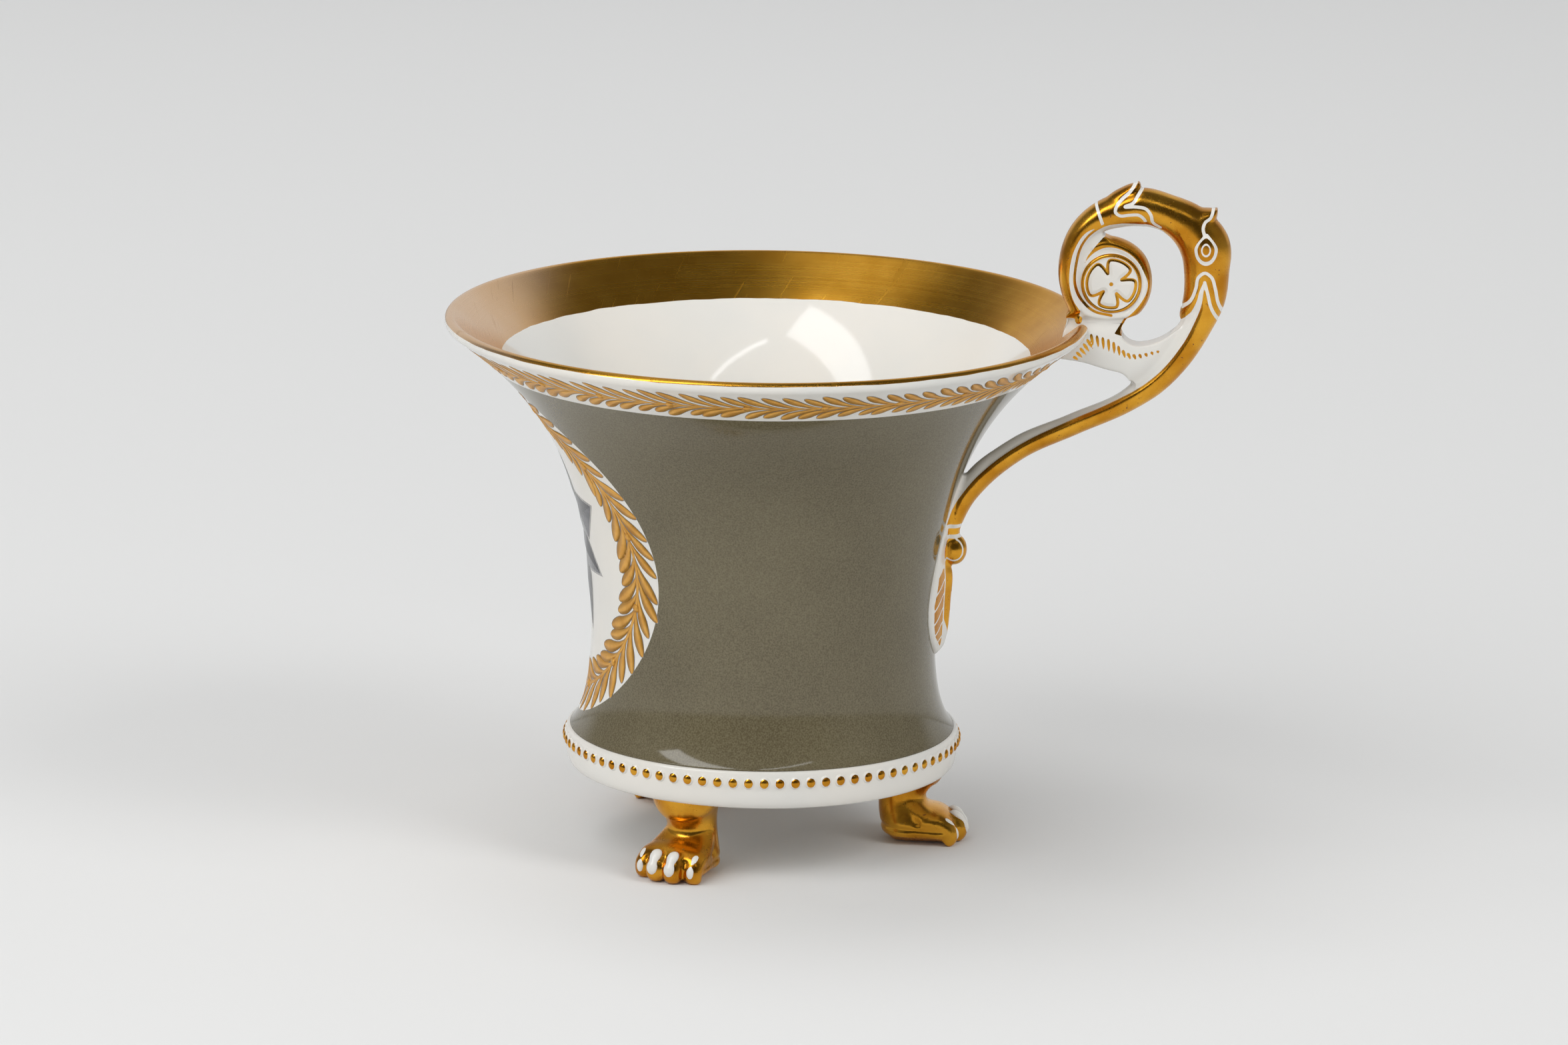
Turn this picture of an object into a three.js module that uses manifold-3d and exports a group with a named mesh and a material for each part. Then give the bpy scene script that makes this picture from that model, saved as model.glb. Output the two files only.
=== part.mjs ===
// Footed porcelain cup: a flared bowl on a beaded base with three paw feet, and a handle made of a
// curved stem that ends in a beast's head biting a scroll. Millimetres, +Z up, the handle along +X.
// The pieces were formed apart and joined with slip, so curved joints keep the width of a slip joint
// and flat joints lie face to face. The origin is the middle of the footprint, at the soles.
import * as THREE from 'three';
import { mergeVertices } from 'three/addons/utils/BufferGeometryUtils.js';
import Module from 'manifold-3d';

const wasm = await Module();
wasm.setup();

// Heights, from the soles up
const legHeight = 12.2;
const baseHeight = 5.8;
const bowlHeight = 63.1;

// Bowl
const lipRadius = 48.2;
const wallThickness = 1.8;
const waistRadius = 25.9;
const waistHeight = 15.6;
const floorThickness = 4.0;
const floorFillet = 9.0;
const flareAngle = 35.5;
const flareRise = 25.0;
const flareRun = 15.4;
const footCurveAngle = 48.0;
const footCurveDrop = 6.3;
const footCurveRun = 4.0;

// Base and its bead strip: the shoulder is how far it stands out past the seat of the bowl, and the
// taper is how far its underside draws in
const baseRadius = 29.8;
const seatShoulder = 0.8;
const undersideTaper = 2.2;
const recessRadius = 14.0;
const recessDepth = 2.4;
const stripDepth = 1.0;
const stripHeight = 2.2;
const stripShoulder = 0.35;
const beadCount = 80;
const beadRadius = 0.85;
const beadRelief = 0.45;

// Paw feet
const footCount = 3;
const footTurn = 5.0;
const footInset = 6.3;
const ankleLength = 7.9;
const ankleWidth = 7.6;
const pawHeight = 6.0;
const pawWidth = 10.4;
const pawReach = 9.9;
const toeCount = 4;
const toePitch = 2.7;
const toeWidth = 2.9;
const clawLength = 4.0;
const clawWidth = 1.7;

// Handle: reach and rise are measured from the lip
const handleReach = 21.0;
const handleRise = 21.7;
const stemThickness = 3.9;
const stemWidth = 4.8;
const stemMiddleDrop = 15.5;
const neckThickness = 6.6;
const neckWidth = 6.4;
const neckJointRise = 2.4;
const muzzleThickness = 5.9;
const muzzleWidth = 6.6;
const mouthReach = 4.2;
const eyeRadius = 1.5;
const earLength = 3.4;
const voluteReach = 3.4;
const voluteRise = 6.7;
const voluteRadius = 5.7;
const scrollThickness = 3.4;
const scrollWidth = 5.6;
const webWidth = 4.2;
const rosetteRadius = 4.2;
const rosetteDepth = 1.1;
const bridgeWidth = 4.6;
const bridgeDepth = 6.0;
const knopDrop = 35.4;
const knopRadius = 1.95;
const knopHalfHeight = 2.2;
const collarRadius = 1.35;
const collarHeight = 2.2;
const leafLength = 13.4;
const leafWidth = 11.0;
const leafRelief = 2.0;

// Joints
const slipJoint = 0.3;

// Smoothness
const aroundSteps = 44;
const wallSteps = 8;
const halfTurn = Math.PI;
const degree = Math.PI / 180;

// Levels and radii that follow from these sizes
const seatRadius = baseRadius - seatShoulder;
const undersideRadius = baseRadius - undersideTaper;
const seatZ = legHeight + baseHeight;
const rimZ = seatZ + bowlHeight;
const waistZ = seatZ + waistHeight;
const crestZ = rimZ + handleRise;
const backX = lipRadius + handleReach;

// Finishes
const finish = (color, roughness, metalness) =>
  new THREE.MeshStandardMaterial({ color, roughness, metalness });
const speckledGround = finish(0x78705c, 0.35, 0);
const whiteGlaze = finish(0xdcd9d1, 0.2, 0);
const gilding = finish(0xb98230, 0.25, 1);

// Turns a closed geometry into a solid: only positions, shared corners merged, no collapsed faces
function solidOf(geometry) {
  const bare = geometry.clone();
  bare.deleteAttribute('normal');
  bare.deleteAttribute('uv');
  const merged = mergeVertices(bare, 1e-4);
  const index = merged.index.array;
  const faces = [];
  for (let i = 0; i < index.length; i += 3) {
    const [a, b, c] = [index[i], index[i + 1], index[i + 2]];
    if (a !== b && b !== c && c !== a) {
      faces.push(a, b, c);
    }
  }
  return new wasm.Manifold(new wasm.Mesh({
    numProp: 3,
    vertProperties: new Float32Array(merged.attributes.position.array),
    triVerts: new Uint32Array(faces),
  }));
}

// Turns a finished solid into a named mesh with a finish of its own
function pieceOf(name, solid, material) {
  const mesh = solid.getMesh();
  const geometry = new THREE.BufferGeometry();
  geometry.setAttribute('position', new THREE.BufferAttribute(mesh.vertProperties, 3));
  geometry.setIndex(new THREE.BufferAttribute(mesh.triVerts, 1));
  geometry.computeVertexNormals();
  const piece = new THREE.Mesh(geometry, material.clone());
  piece.name = name;
  return piece;
}

// Revolves a profile of [radius, z] points, from the bottom of the axis round the outside, about Z
function turned(profile, steps = aroundSteps) {
  const points = profile.map(([radius, z]) => new THREE.Vector2(radius, z));
  return new THREE.LatheGeometry(points, steps).rotateX(halfTurn / 2);
}

// Sweeps an oval along a path in the XZ plane. girth gives half the thickness and half the width
function swept(path, girth, steps, sides) {
  const positions = [];
  const faces = [];
  for (let i = 0; i <= steps; i += 1) {
    const share = i / steps;
    const centre = path.getPoint(share);
    const along = path.getTangent(share);
    const half = girth.getPoint(share);
    for (let j = 0; j < sides; j += 1) {
      const angle = (j / sides) * 2 * halfTurn;
      const outward = half.x * Math.cos(angle);
      const sideways = half.y * Math.sin(angle);
      positions.push(centre.x + along.z * outward, sideways, centre.z - along.x * outward);
    }
  }
  for (let i = 0; i < steps; i += 1) {
    for (let j = 0; j < sides; j += 1) {
      const next = (j + 1) % sides;
      const [a, b] = [i * sides + j, i * sides + next];
      faces.push(a, b, b + sides, a, b + sides, a + sides);
    }
  }
  const last = steps * sides;
  for (let j = 1; j < sides - 1; j += 1) {
    faces.push(0, j + 1, j, last, last + j, last + j + 1);
  }
  const geometry = new THREE.BufferGeometry();
  geometry.setAttribute('position', new THREE.Float32BufferAttribute(positions, 3));
  geometry.setIndex(faces);
  return geometry;
}

// A smooth path and its girth through stations of [x, z, thickness, width]
const pathThrough = (stations) =>
  new THREE.CatmullRomCurve3(stations.map(([x, z]) => new THREE.Vector3(x, 0, z)), false, 'centripetal');
const girthThrough = (stations, extra = 0) =>
  new THREE.SplineCurve(stations.map(([, , thickness, width]) =>
    new THREE.Vector2(thickness / 2 + extra, width / 2 + extra)));

// An ellipsoid of half sizes x, y, z, turned about Y and moved to a place
function ellipsoid(halfSizes, turn, place, around = 10, rings = 7) {
  return new THREE.SphereGeometry(1, around, rings)
    .rotateX(halfTurn / 2)
    .scale(...halfSizes)
    .rotateY(turn)
    .translate(...place);
}

// A wide block between two heights, used to trim pieces at a level
const blockSize = 4 * (lipRadius + handleReach);
const blockAbove = (z) =>
  solidOf(new THREE.BoxGeometry(blockSize, blockSize, blockSize).translate(0, 0, z + blockSize / 2));
const blockBelow = (z) =>
  solidOf(new THREE.BoxGeometry(blockSize, blockSize, blockSize).translate(0, 0, z - blockSize / 2));

// Wall of the bowl: one curve from the seat to the waist, one from the waist to the lip
function wallCurve(clearance) {
  const lean = flareAngle * degree;
  const lip = new THREE.Vector2(lipRadius - wallThickness / 2, rimZ - wallThickness / 2);
  const end = lip.clone().add(
    new THREE.Vector2(Math.sin(lean), -Math.cos(lean)).multiplyScalar(wallThickness / 2));
  const seatLean = footCurveAngle * degree;
  const waist = new THREE.Vector2(waistRadius, waistZ);
  const lower = new THREE.CubicBezierCurve(
    new THREE.Vector2(seatRadius, seatZ),
    new THREE.Vector2(seatRadius - footCurveRun * Math.cos(seatLean),
      seatZ + footCurveRun * Math.sin(seatLean)),
    new THREE.Vector2(waistRadius, waistZ - footCurveDrop),
    waist);
  const upper = new THREE.CubicBezierCurve(
    waist,
    new THREE.Vector2(waistRadius, waistZ + flareRise),
    new THREE.Vector2(end.x - flareRun * Math.cos(lean), end.y - flareRun * Math.sin(lean)),
    end);
  const points = [];
  for (const [curve, first] of [[lower, 0], [upper, 1]]) {
    for (let i = first; i <= wallSteps; i += 1) {
      const point = curve.getPoint(i / wallSteps);
      const along = curve.getTangent(i / wallSteps);
      points.push([point.x + along.y * clearance, point.y - along.x * clearance]);
    }
  }
  return { points, lip, lean };
}

// The rounded lip, from the outer wall over to the inner one
function lipArc(lip, lean, radius) {
  const steps = 4;
  const points = [];
  for (let i = 1; i < steps; i += 1) {
    const angle = lean - halfTurn / 2 + (i / steps) * halfTurn;
    points.push([lip.x + radius * Math.cos(angle), lip.y + radius * Math.sin(angle)]);
  }
  return points;
}

// Radius of the outer wall at a height
const outerWall = wallCurve(0);
function wallRadius(z) {
  const { points } = outerWall;
  const i = points.findIndex(([, height]) => height >= z);
  const [[lowRadius, low], [highRadius, high]] = [points[i - 1], points[i]];
  return lowRadius + ((highRadius - lowRadius) * (z - low)) / (high - low);
}

function bowlSolid() {
  const { points, lip, lean } = outerWall;
  const floorZ = seatZ + floorThickness;
  const inner = wallCurve(-wallThickness).points.filter(([, z]) => z > floorZ + floorFillet).reverse();
  const floorRadius = inner[inner.length - 1][0];
  const fillet = [];
  for (const turn of [0.25, 0.5, 0.75, 1]) {
    const angle = (turn * halfTurn) / 2;
    fillet.push([
      floorRadius - floorFillet * (1 - Math.cos(angle)),
      floorZ + floorFillet * (1 - Math.sin(angle))]);
  }
  const profile = [[0, seatZ], ...points, ...lipArc(lip, lean, wallThickness / 2), ...inner, ...fillet,
    [0, floorZ]];
  return solidOf(turned(profile));
}

// The bowl as a filled form, larger by the slip joint, that trims what is luted to it
function bowlTrim() {
  const { points, lip, lean } = wallCurve(slipJoint);
  const arc = lipArc(lip, lean, wallThickness / 2 + slipJoint);
  const profile = [[0, points[0][1]], ...points, ...arc, [0, arc[arc.length - 1][1]]];
  return solidOf(turned(profile));
}

// Base: a rounded edge, a groove for the bead strip and a recess underneath
const stripTopZ = seatZ - stripShoulder;
const stripZ = stripTopZ - stripHeight;
const grooveRadius = baseRadius - stripDepth;
function baseSolid() {
  const edge = new THREE.QuadraticBezierCurve(
    new THREE.Vector2(undersideRadius, legHeight),
    new THREE.Vector2(baseRadius, legHeight + (stripZ - legHeight) / 3),
    new THREE.Vector2(baseRadius, stripZ));
  const profile = [
    [0, legHeight + recessDepth],
    [recessRadius, legHeight + recessDepth],
    [recessRadius + recessDepth / 2, legHeight],
    ...edge.getPoints(5).map((point) => [point.x, point.y]),
    [grooveRadius, stripZ],
    [grooveRadius, stripTopZ],
    [(baseRadius + seatRadius) / 2, stripTopZ],
    [seatRadius, seatZ],
    [0, seatZ]];
  return solidOf(turned(profile));
}

// Bead strip: a flat ring with flattened beads standing on it, all one body
function beadRingSolid() {
  const innerRadius = grooveRadius + slipJoint;
  const top = stripTopZ - slipJoint;
  const strip = [[innerRadius, stripZ], [baseRadius, stripZ], [baseRadius, top], [innerRadius, top],
    [innerRadius, stripZ]];
  let ring = solidOf(turned(strip, beadCount));
  for (let i = 0; i < beadCount; i += 1) {
    const bead = new THREE.IcosahedronGeometry(1)
      .scale(beadRelief, beadRadius, beadRadius)
      .translate(baseRadius, 0, (stripZ + top) / 2);
    ring = ring.add(solidOf(bead.rotateZ(((i + 0.5) / beadCount) * 2 * halfTurn)));
  }
  return ring;
}

// Paw foot along +X, turned to its place later: a leg that flares up to the base, a pad, and the toes
// with their claws
const ankleX = undersideRadius - footInset;
function pawSolid() {
  const shin = legHeight - pawHeight;
  const leg = [
    [ankleX + 1.2, legHeight, ankleLength + 2.4, ankleWidth + 1.8],
    [ankleX + 0.4, legHeight - 0.35 * shin, ankleLength + 0.7, ankleWidth + 0.6],
    [ankleX, pawHeight + 0.4 * shin, ankleLength, ankleWidth],
    [ankleX + 0.4, pawHeight, ankleLength + 0.6, ankleWidth + 0.9],
    [ankleX + 1.4, 0.6 * pawHeight, ankleLength + 2.2, pawWidth - 0.6],
    [ankleX + 2.4, 0.3 * pawHeight, ankleLength + 3.2, pawWidth],
    [ankleX + 2.6, -slipJoint, ankleLength + 2.0, pawWidth - 0.8]];
  let paw = solidOf(swept(pathThrough(leg), girthThrough(leg), 10, 12));
  const toePath = [
    [ankleX + 3.2, 0.85 * pawHeight, toeWidth, toeWidth - 0.5],
    [ankleX + pawReach - 3.9, 0.86 * pawHeight, toeWidth + 0.5, toeWidth],
    [ankleX + pawReach - 1.8, 0.58 * pawHeight, toeWidth + 0.4, toeWidth],
    [ankleX + pawReach - 1.3, 0.1 * pawHeight, toeWidth - 0.4, toeWidth - 0.3]];
  for (let i = 0; i < toeCount; i += 1) {
    const side = i - (toeCount - 1) / 2;
    const setBack = Math.abs(side) > 1 ? toeWidth / 2 : 0;
    const place = [-setBack, side * toePitch, 0];
    const toe = swept(pathThrough(toePath), girthThrough(toePath), 5, 6).translate(...place);
    const claw = ellipsoid([0.45 * clawWidth, clawWidth / 2, clawLength / 2], -0.5,
      [ankleX + pawReach - 0.9, 0, 0.52 * pawHeight], 6, 5).translate(...place);
    paw = paw.add(solidOf(toe)).add(solidOf(claw));
  }
  return paw.subtract(blockBelow(0)).subtract(blockAbove(legHeight));
}

// Handle: places that its pieces share
const knopZ = rimZ - knopDrop;
const knopX = wallRadius(knopZ) + knopRadius;
const collarTopZ = knopZ + knopHalfHeight + collarHeight;
const leafTopZ = knopZ - knopHalfHeight;
const neckJointZ = rimZ + neckJointRise;
const neckX = backX - neckThickness / 2 - 0.5;
const mouthX = lipRadius + mouthReach;
const muzzleZ = crestZ - muzzleThickness / 2 - 0.9;
const voluteX = lipRadius + voluteReach;
const voluteZ = rimZ + voluteRise;
const bridgeTopZ = voluteZ - voluteRadius - 0.7;

// Stem: an S from the collar to the neck, thicker towards the neck
const stemMiddle = [lipRadius - 2.0, rimZ - stemMiddleDrop];
const stemRun = stemMiddle[0] - knopX;
const stemClimb = stemMiddle[1] - collarTopZ;
const stemStations = [
  [knopX, collarTopZ - 1.0, stemThickness - 1.3, stemWidth - 1.2],
  [knopX + 0.3, collarTopZ + 1.6, stemThickness - 0.7, stemWidth - 0.6],
  [knopX + 0.18 * stemRun, collarTopZ + 0.41 * stemClimb, stemThickness, stemWidth],
  [knopX + 0.52 * stemRun, collarTopZ + 0.74 * stemClimb, stemThickness, stemWidth],
  [stemMiddle[0], stemMiddle[1], stemThickness, stemWidth],
  [stemMiddle[0] + 7.9, stemMiddle[1] + 3.8, stemThickness, stemWidth],
  [neckX - 7.8, stemMiddle[1] + 6.7, stemThickness + 0.5, stemWidth + 0.2],
  [neckX - 4.6, rimZ - 5.0, stemThickness + 0.9, stemWidth + 0.5],
  [neckX - 1.4, rimZ + 0.2, neckThickness - 1.3, neckWidth - 0.8],
  [neckX - 0.2, neckJointZ + 0.6, neckThickness - 0.5, neckWidth - 0.4]];
const stemForm = (extra) =>
  solidOf(swept(pathThrough(stemStations), girthThrough(stemStations, extra), 30, 12));

// Head: the neck bends forward into the muzzle, with a brow, two ears, two eyes and a raised nose
const headRise = muzzleZ - neckJointZ;
const headRun = neckX - mouthX;
const headStations = [
  [neckX - 0.3, neckJointZ - 0.6, neckThickness - 0.6, neckWidth - 0.4],
  [neckX, neckJointZ + 0.36 * headRise, neckThickness, neckWidth],
  [neckX - 0.04 * headRun, neckJointZ + 0.65 * headRise, neckThickness + 1.2, neckWidth + 0.6],
  [neckX - 0.22 * headRun, neckJointZ + 0.87 * headRise, neckThickness + 1.4, neckWidth + 0.4],
  [neckX - 0.51 * headRun, muzzleZ - 0.5, muzzleThickness, muzzleWidth],
  [neckX - 0.77 * headRun, muzzleZ, muzzleThickness, muzzleWidth],
  [mouthX - 0.6, muzzleZ - 0.3, muzzleThickness - 0.4, muzzleWidth - 0.8]];
function headSolid() {
  let head = solidOf(swept(pathThrough(headStations), girthThrough(headStations), 24, 12));
  const nose = ellipsoid([1.0, muzzleWidth / 4, 2.2], 0.35, [mouthX + 2.4, 0, crestZ - 2.1], 8, 6);
  head = head.add(solidOf(nose));
  for (const side of [-1, 1]) {
    const ear = new THREE.ConeGeometry(1.2, earLength, 6)
      .rotateX(halfTurn / 2)
      .rotateY(0.25)
      .translate(neckX + 0.9, (side * neckWidth) / 4, crestZ - 5.3);
    const eye = ellipsoid([eyeRadius, 0.6, 1.25 * eyeRadius], 0,
      [neckX - 0.2, side * (neckWidth / 2 + 0.15), neckJointZ + 0.63 * headRise], 8, 6);
    head = head.add(solidOf(ear)).add(solidOf(eye));
  }
  const behindMouth = new THREE.BoxGeometry(blockSize, blockSize, blockSize)
    .translate(mouthX - blockSize / 2, 0, 0);
  return head.subtract(blockBelow(neckJointZ)).subtract(solidOf(behindMouth));
}

// Scroll: from the mouth round the front of the volute and up its far side, with a web inside
const scrollOuter = voluteRadius - 1.2;
const scrollStations = [
  [mouthX + 0.6, muzzleZ - 0.3, muzzleThickness - 0.5, scrollWidth],
  [voluteX - 2.5, muzzleZ - 1.4, scrollThickness + 0.9, scrollWidth],
  [voluteX - 5.2, voluteZ + 6.6, scrollThickness, scrollWidth],
  [voluteX - 6.4, voluteZ + 3.2, scrollThickness, scrollWidth],
  [voluteX - 6.3, voluteZ - 0.6, scrollThickness, scrollWidth],
  [voluteX - 4.9, voluteZ - 3.9, scrollThickness - 0.4, scrollWidth - 0.2],
  [voluteX - 0.6, voluteZ - scrollOuter - 0.8, scrollThickness - 0.9, scrollWidth - 0.4],
  [voluteX + 3.4, voluteZ - 0.75 * scrollOuter, scrollThickness - 1.0, scrollWidth - 0.6],
  [voluteX + scrollOuter, voluteZ, scrollThickness - 1.0, scrollWidth - 0.8],
  [voluteX + 3.2, voluteZ + 0.75 * scrollOuter, scrollThickness - 1.0, scrollWidth - 1.0],
  [voluteX + 0.2, voluteZ + scrollOuter + 0.5, scrollThickness - 1.2, scrollWidth - 1.2],
  [voluteX - 2.4, voluteZ + scrollOuter, scrollThickness - 1.4, scrollWidth - 1.4]];
function scrollSolid(trim) {
  const band = solidOf(swept(pathThrough(scrollStations), girthThrough(scrollStations), 36, 9));
  const web = solidOf(new THREE.CylinderGeometry(voluteRadius - 0.4, voluteRadius - 0.4, webWidth, 24)
    .translate(voluteX, 0, voluteZ));
  const beforeMouth = new THREE.BoxGeometry(blockSize, blockSize, blockSize)
    .translate(mouthX - slipJoint + blockSize / 2, 0, muzzleZ + blockSize / 2 - muzzleThickness / 2 - 0.6);
  return band.add(web)
    .subtract(solidOf(beforeMouth))
    .subtract(blockBelow(bridgeTopZ))
    .subtract(trim)
    .subtract(solidOf(rosetteSeat(1)))
    .subtract(solidOf(rosetteSeat(-1)));
}

// Rosette: a shallow dish with a raised rim and a centre bead, seated on the web of the volute
const rosetteSeat = (side) => {
  const depth = scrollWidth;
  const radius = rosetteRadius + slipJoint;
  return new THREE.CylinderGeometry(radius, radius, depth, 24)
    .translate(voluteX, side * (webWidth / 2 + depth / 2 - slipJoint), voluteZ);
};
function rosetteSolid(side) {
  const profile = [[0, 0], [rosetteRadius, 0], [rosetteRadius, 0.7 * rosetteDepth],
    [0.9 * rosetteRadius, rosetteDepth], [0.78 * rosetteRadius, rosetteDepth],
    [0.68 * rosetteRadius, 0.7 * rosetteDepth], [0.16 * rosetteRadius, 0.85 * rosetteDepth],
    [0.08 * rosetteRadius, rosetteDepth], [0, rosetteDepth]];
  return solidOf(turned(profile, 24)
    .rotateX((-side * halfTurn) / 2)
    .translate(voluteX, (side * webWidth) / 2, voluteZ));
}

// Bridge: a flat strut from the lip to the stem, under the volute, with rounded edges
function bridgeSolid(trim) {
  const lowZ = rimZ - bridgeDepth;
  const gapLeft = voluteX + 1.8;
  const gapRight = neckX - 3.0;
  const gap = gapRight - gapLeft;
  const outline = new THREE.Shape();
  outline.moveTo(lipRadius - 2.6, bridgeTopZ + 1);
  outline.lineTo(lipRadius - 3.4, lowZ + 0.3);
  outline.quadraticCurveTo(voluteX - 1.2, lowZ - 1.0, voluteX + 1.3, lowZ - 1.2);
  outline.lineTo(gapLeft + 0.5, lowZ - 3.0);
  outline.lineTo(gapLeft + 0.55 * gap, lowZ - 3.0);
  outline.lineTo(gapRight, rimZ);
  outline.quadraticCurveTo(gapLeft + 0.62 * gap, rimZ - 3.3, gapLeft + 0.18 * gap, rimZ - 3.2);
  outline.quadraticCurveTo(gapLeft - 0.8, rimZ - 2.6, gapLeft, bridgeTopZ + 1);
  const round = bridgeWidth / 5;
  const strut = new THREE.ExtrudeGeometry(outline, {
    depth: bridgeWidth - 2 * round,
    curveSegments: 6,
    bevelThickness: round,
    bevelSize: round / 2,
    bevelOffset: -round / 2,
    bevelSegments: 2,
  });
  strut.rotateX(halfTurn / 2).translate(0, bridgeWidth / 2 - round, 0);
  return solidOf(strut).subtract(blockAbove(bridgeTopZ)).subtract(stemForm(slipJoint)).subtract(trim);
}

// Knop: a ball with a collar above it
function knopSolid(trim) {
  const ball = ellipsoid([knopRadius, knopRadius, knopHalfHeight], 0, [knopX, 0, knopZ], 14, 10);
  const collar = new THREE.CylinderGeometry(collarRadius, 0.9 * collarRadius, 3 * collarHeight, 14)
    .rotateX(halfTurn / 2)
    .translate(knopX - 0.3, 0, collarTopZ - collarHeight / 2);
  return solidOf(ball).add(solidOf(collar))
    .subtract(blockAbove(collarTopZ))
    .subtract(blockBelow(leafTopZ + slipJoint))
    .subtract(trim);
}

// Leaf: a raised pointed leaf that wraps round the wall
function leafSolid(trim) {
  const outline = [[0, 0.25], [0.2, 0.75], [0.42, 1], [0.7, 0.72], [1, 0.08]];
  const stations = outline.map(([share, spread]) => {
    const z = leafTopZ - share * leafLength;
    return [wallRadius(z), z, 2 * leafRelief * (1 - 0.55 * share), leafWidth * spread];
  });
  const leaf = swept(pathThrough(stations), girthThrough(stations), 14, 14);
  const place = leaf.attributes.position;
  for (let i = 0; i < place.count; i += 1) {
    const radius = place.getX(i);
    const turn = place.getY(i) / radius;
    place.setXYZ(i, radius * Math.cos(turn), radius * Math.sin(turn), place.getZ(i));
  }
  return solidOf(leaf).subtract(trim);
}

// Assembly
const cup = new THREE.Group();
const trim = bowlTrim();
cup.add(pieceOf('bowl', bowlSolid(), speckledGround));
cup.add(pieceOf('base', baseSolid(), whiteGlaze));
cup.add(pieceOf('bead_ring', beadRingSolid(), gilding));
['foot_handle', 'foot_left', 'foot_right'].forEach((name, i) => {
  const foot = pieceOf(name, pawSolid(), gilding);
  foot.rotation.z = footTurn * degree + (i * 2 * halfTurn) / footCount;
  cup.add(foot);
});
cup.add(pieceOf('handle_stem',
  stemForm(0).subtract(blockAbove(neckJointZ)).subtract(blockBelow(collarTopZ)).subtract(trim), gilding));
cup.add(pieceOf('beast_head', headSolid(), gilding));
cup.add(pieceOf('handle_scroll', scrollSolid(trim), gilding));
cup.add(pieceOf('rosette_near', rosetteSolid(-1), whiteGlaze));
cup.add(pieceOf('rosette_far', rosetteSolid(1), whiteGlaze));
cup.add(pieceOf('rim_bridge', bridgeSolid(trim), whiteGlaze));
cup.add(pieceOf('knop', knopSolid(trim), gilding));
cup.add(pieceOf('leaf_terminal', leafSolid(trim), gilding));

// The origin: the middle of the footprint, at the soles
const extent = new THREE.Box3().setFromObject(cup);
cup.position.set(-(extent.min.x + extent.max.x) / 2, -(extent.min.y + extent.max.y) / 2, -extent.min.z);

export default cup;
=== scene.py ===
# Footed porcelain cup: the looks. Sizes are millimetres where no note says otherwise.
import bpy
import bmesh
import math
import numpy as np
from mathutils import Matrix, Vector


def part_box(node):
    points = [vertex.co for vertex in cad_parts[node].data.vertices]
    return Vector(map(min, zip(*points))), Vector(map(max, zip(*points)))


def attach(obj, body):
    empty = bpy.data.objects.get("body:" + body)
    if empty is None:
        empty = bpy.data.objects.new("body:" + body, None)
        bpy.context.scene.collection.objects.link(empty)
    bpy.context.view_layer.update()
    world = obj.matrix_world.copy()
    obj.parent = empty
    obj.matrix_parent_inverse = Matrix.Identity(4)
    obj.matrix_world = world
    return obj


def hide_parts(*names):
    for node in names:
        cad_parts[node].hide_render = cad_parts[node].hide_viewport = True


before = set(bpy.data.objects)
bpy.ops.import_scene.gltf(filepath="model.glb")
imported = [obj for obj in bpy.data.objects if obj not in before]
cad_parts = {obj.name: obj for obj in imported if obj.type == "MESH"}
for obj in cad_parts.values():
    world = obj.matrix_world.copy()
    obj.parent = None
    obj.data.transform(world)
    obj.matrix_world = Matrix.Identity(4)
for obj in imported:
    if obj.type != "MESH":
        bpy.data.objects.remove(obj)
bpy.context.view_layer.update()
mm = 0.001

bowlLow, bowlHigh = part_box("bowl")
baseLow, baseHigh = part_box("base")
axisX = (bowlLow.x + bowlHigh.x) / 2 / mm          # the bowl's axis stands off the middle of the footprint
lipRadius = (bowlHigh.y - bowlLow.y) / 2 / mm
rimZ = bowlHigh.z / mm
seatZ = bowlLow.z / mm
print("frame: axis", round(axisX, 3), "lip", round(lipRadius, 2), "rim", round(rimZ, 2))


# One socket of a node tree: sums on it add Math nodes, and node() adds any other node
class Wire:
    def __init__(self, tree, socket=None):
        self.tree = tree
        self.socket = socket

    def node(self, kind, settings=None, values=None, out=0):
        made = self.tree.nodes.new(kind)
        for name, value in (settings or {}).items():
            setattr(made, name, value)
        for name, value in (values or {}).items():
            self.feed(made.inputs[name], value)
        return Wire(self.tree, made.outputs[out])

    def feed(self, socket, value):
        if isinstance(value, Wire):
            self.tree.links.new(value.socket, socket)
        else:
            socket.default_value = value

    def other(self, out):
        return Wire(self.tree, self.socket.node.outputs[out])

    def sum(self, operation, *terms):
        return self.node("ShaderNodeMath", {"operation": operation}, dict(enumerate(terms)))

    def __add__(self, term):
        return self.sum("ADD", self, term)

    def __radd__(self, term):
        return self.sum("ADD", term, self)

    def __sub__(self, term):
        return self.sum("SUBTRACT", self, term)

    def __rsub__(self, term):
        return self.sum("SUBTRACT", term, self)

    def __mul__(self, term):
        return self.sum("MULTIPLY", self, term)

    def __rmul__(self, term):
        return self.sum("MULTIPLY", term, self)

    def __truediv__(self, term):
        return self.sum("DIVIDE", self, term)

    def step(self, low, high):
        return self.node("ShaderNodeMapRange", {"interpolation_type": "SMOOTHSTEP"},
                         {"Value": self, "From Min": low, "From Max": high})

    def mix(self, first, second):                    # this value runs from the first colour to the second
        return self.node("ShaderNodeMix", {"data_type": "RGBA"}, {0: self, 6: first, 7: second}, 2)


def rgb(red, green, blue):                            # a colour as it shows on screen
    def linear(share):
        return share / 12.92 if share <= 0.04045 else ((share + 0.055) / 1.055) ** 2.4
    return tuple(linear(part / 255) for part in (red, green, blue)) + (1.0,)


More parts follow.
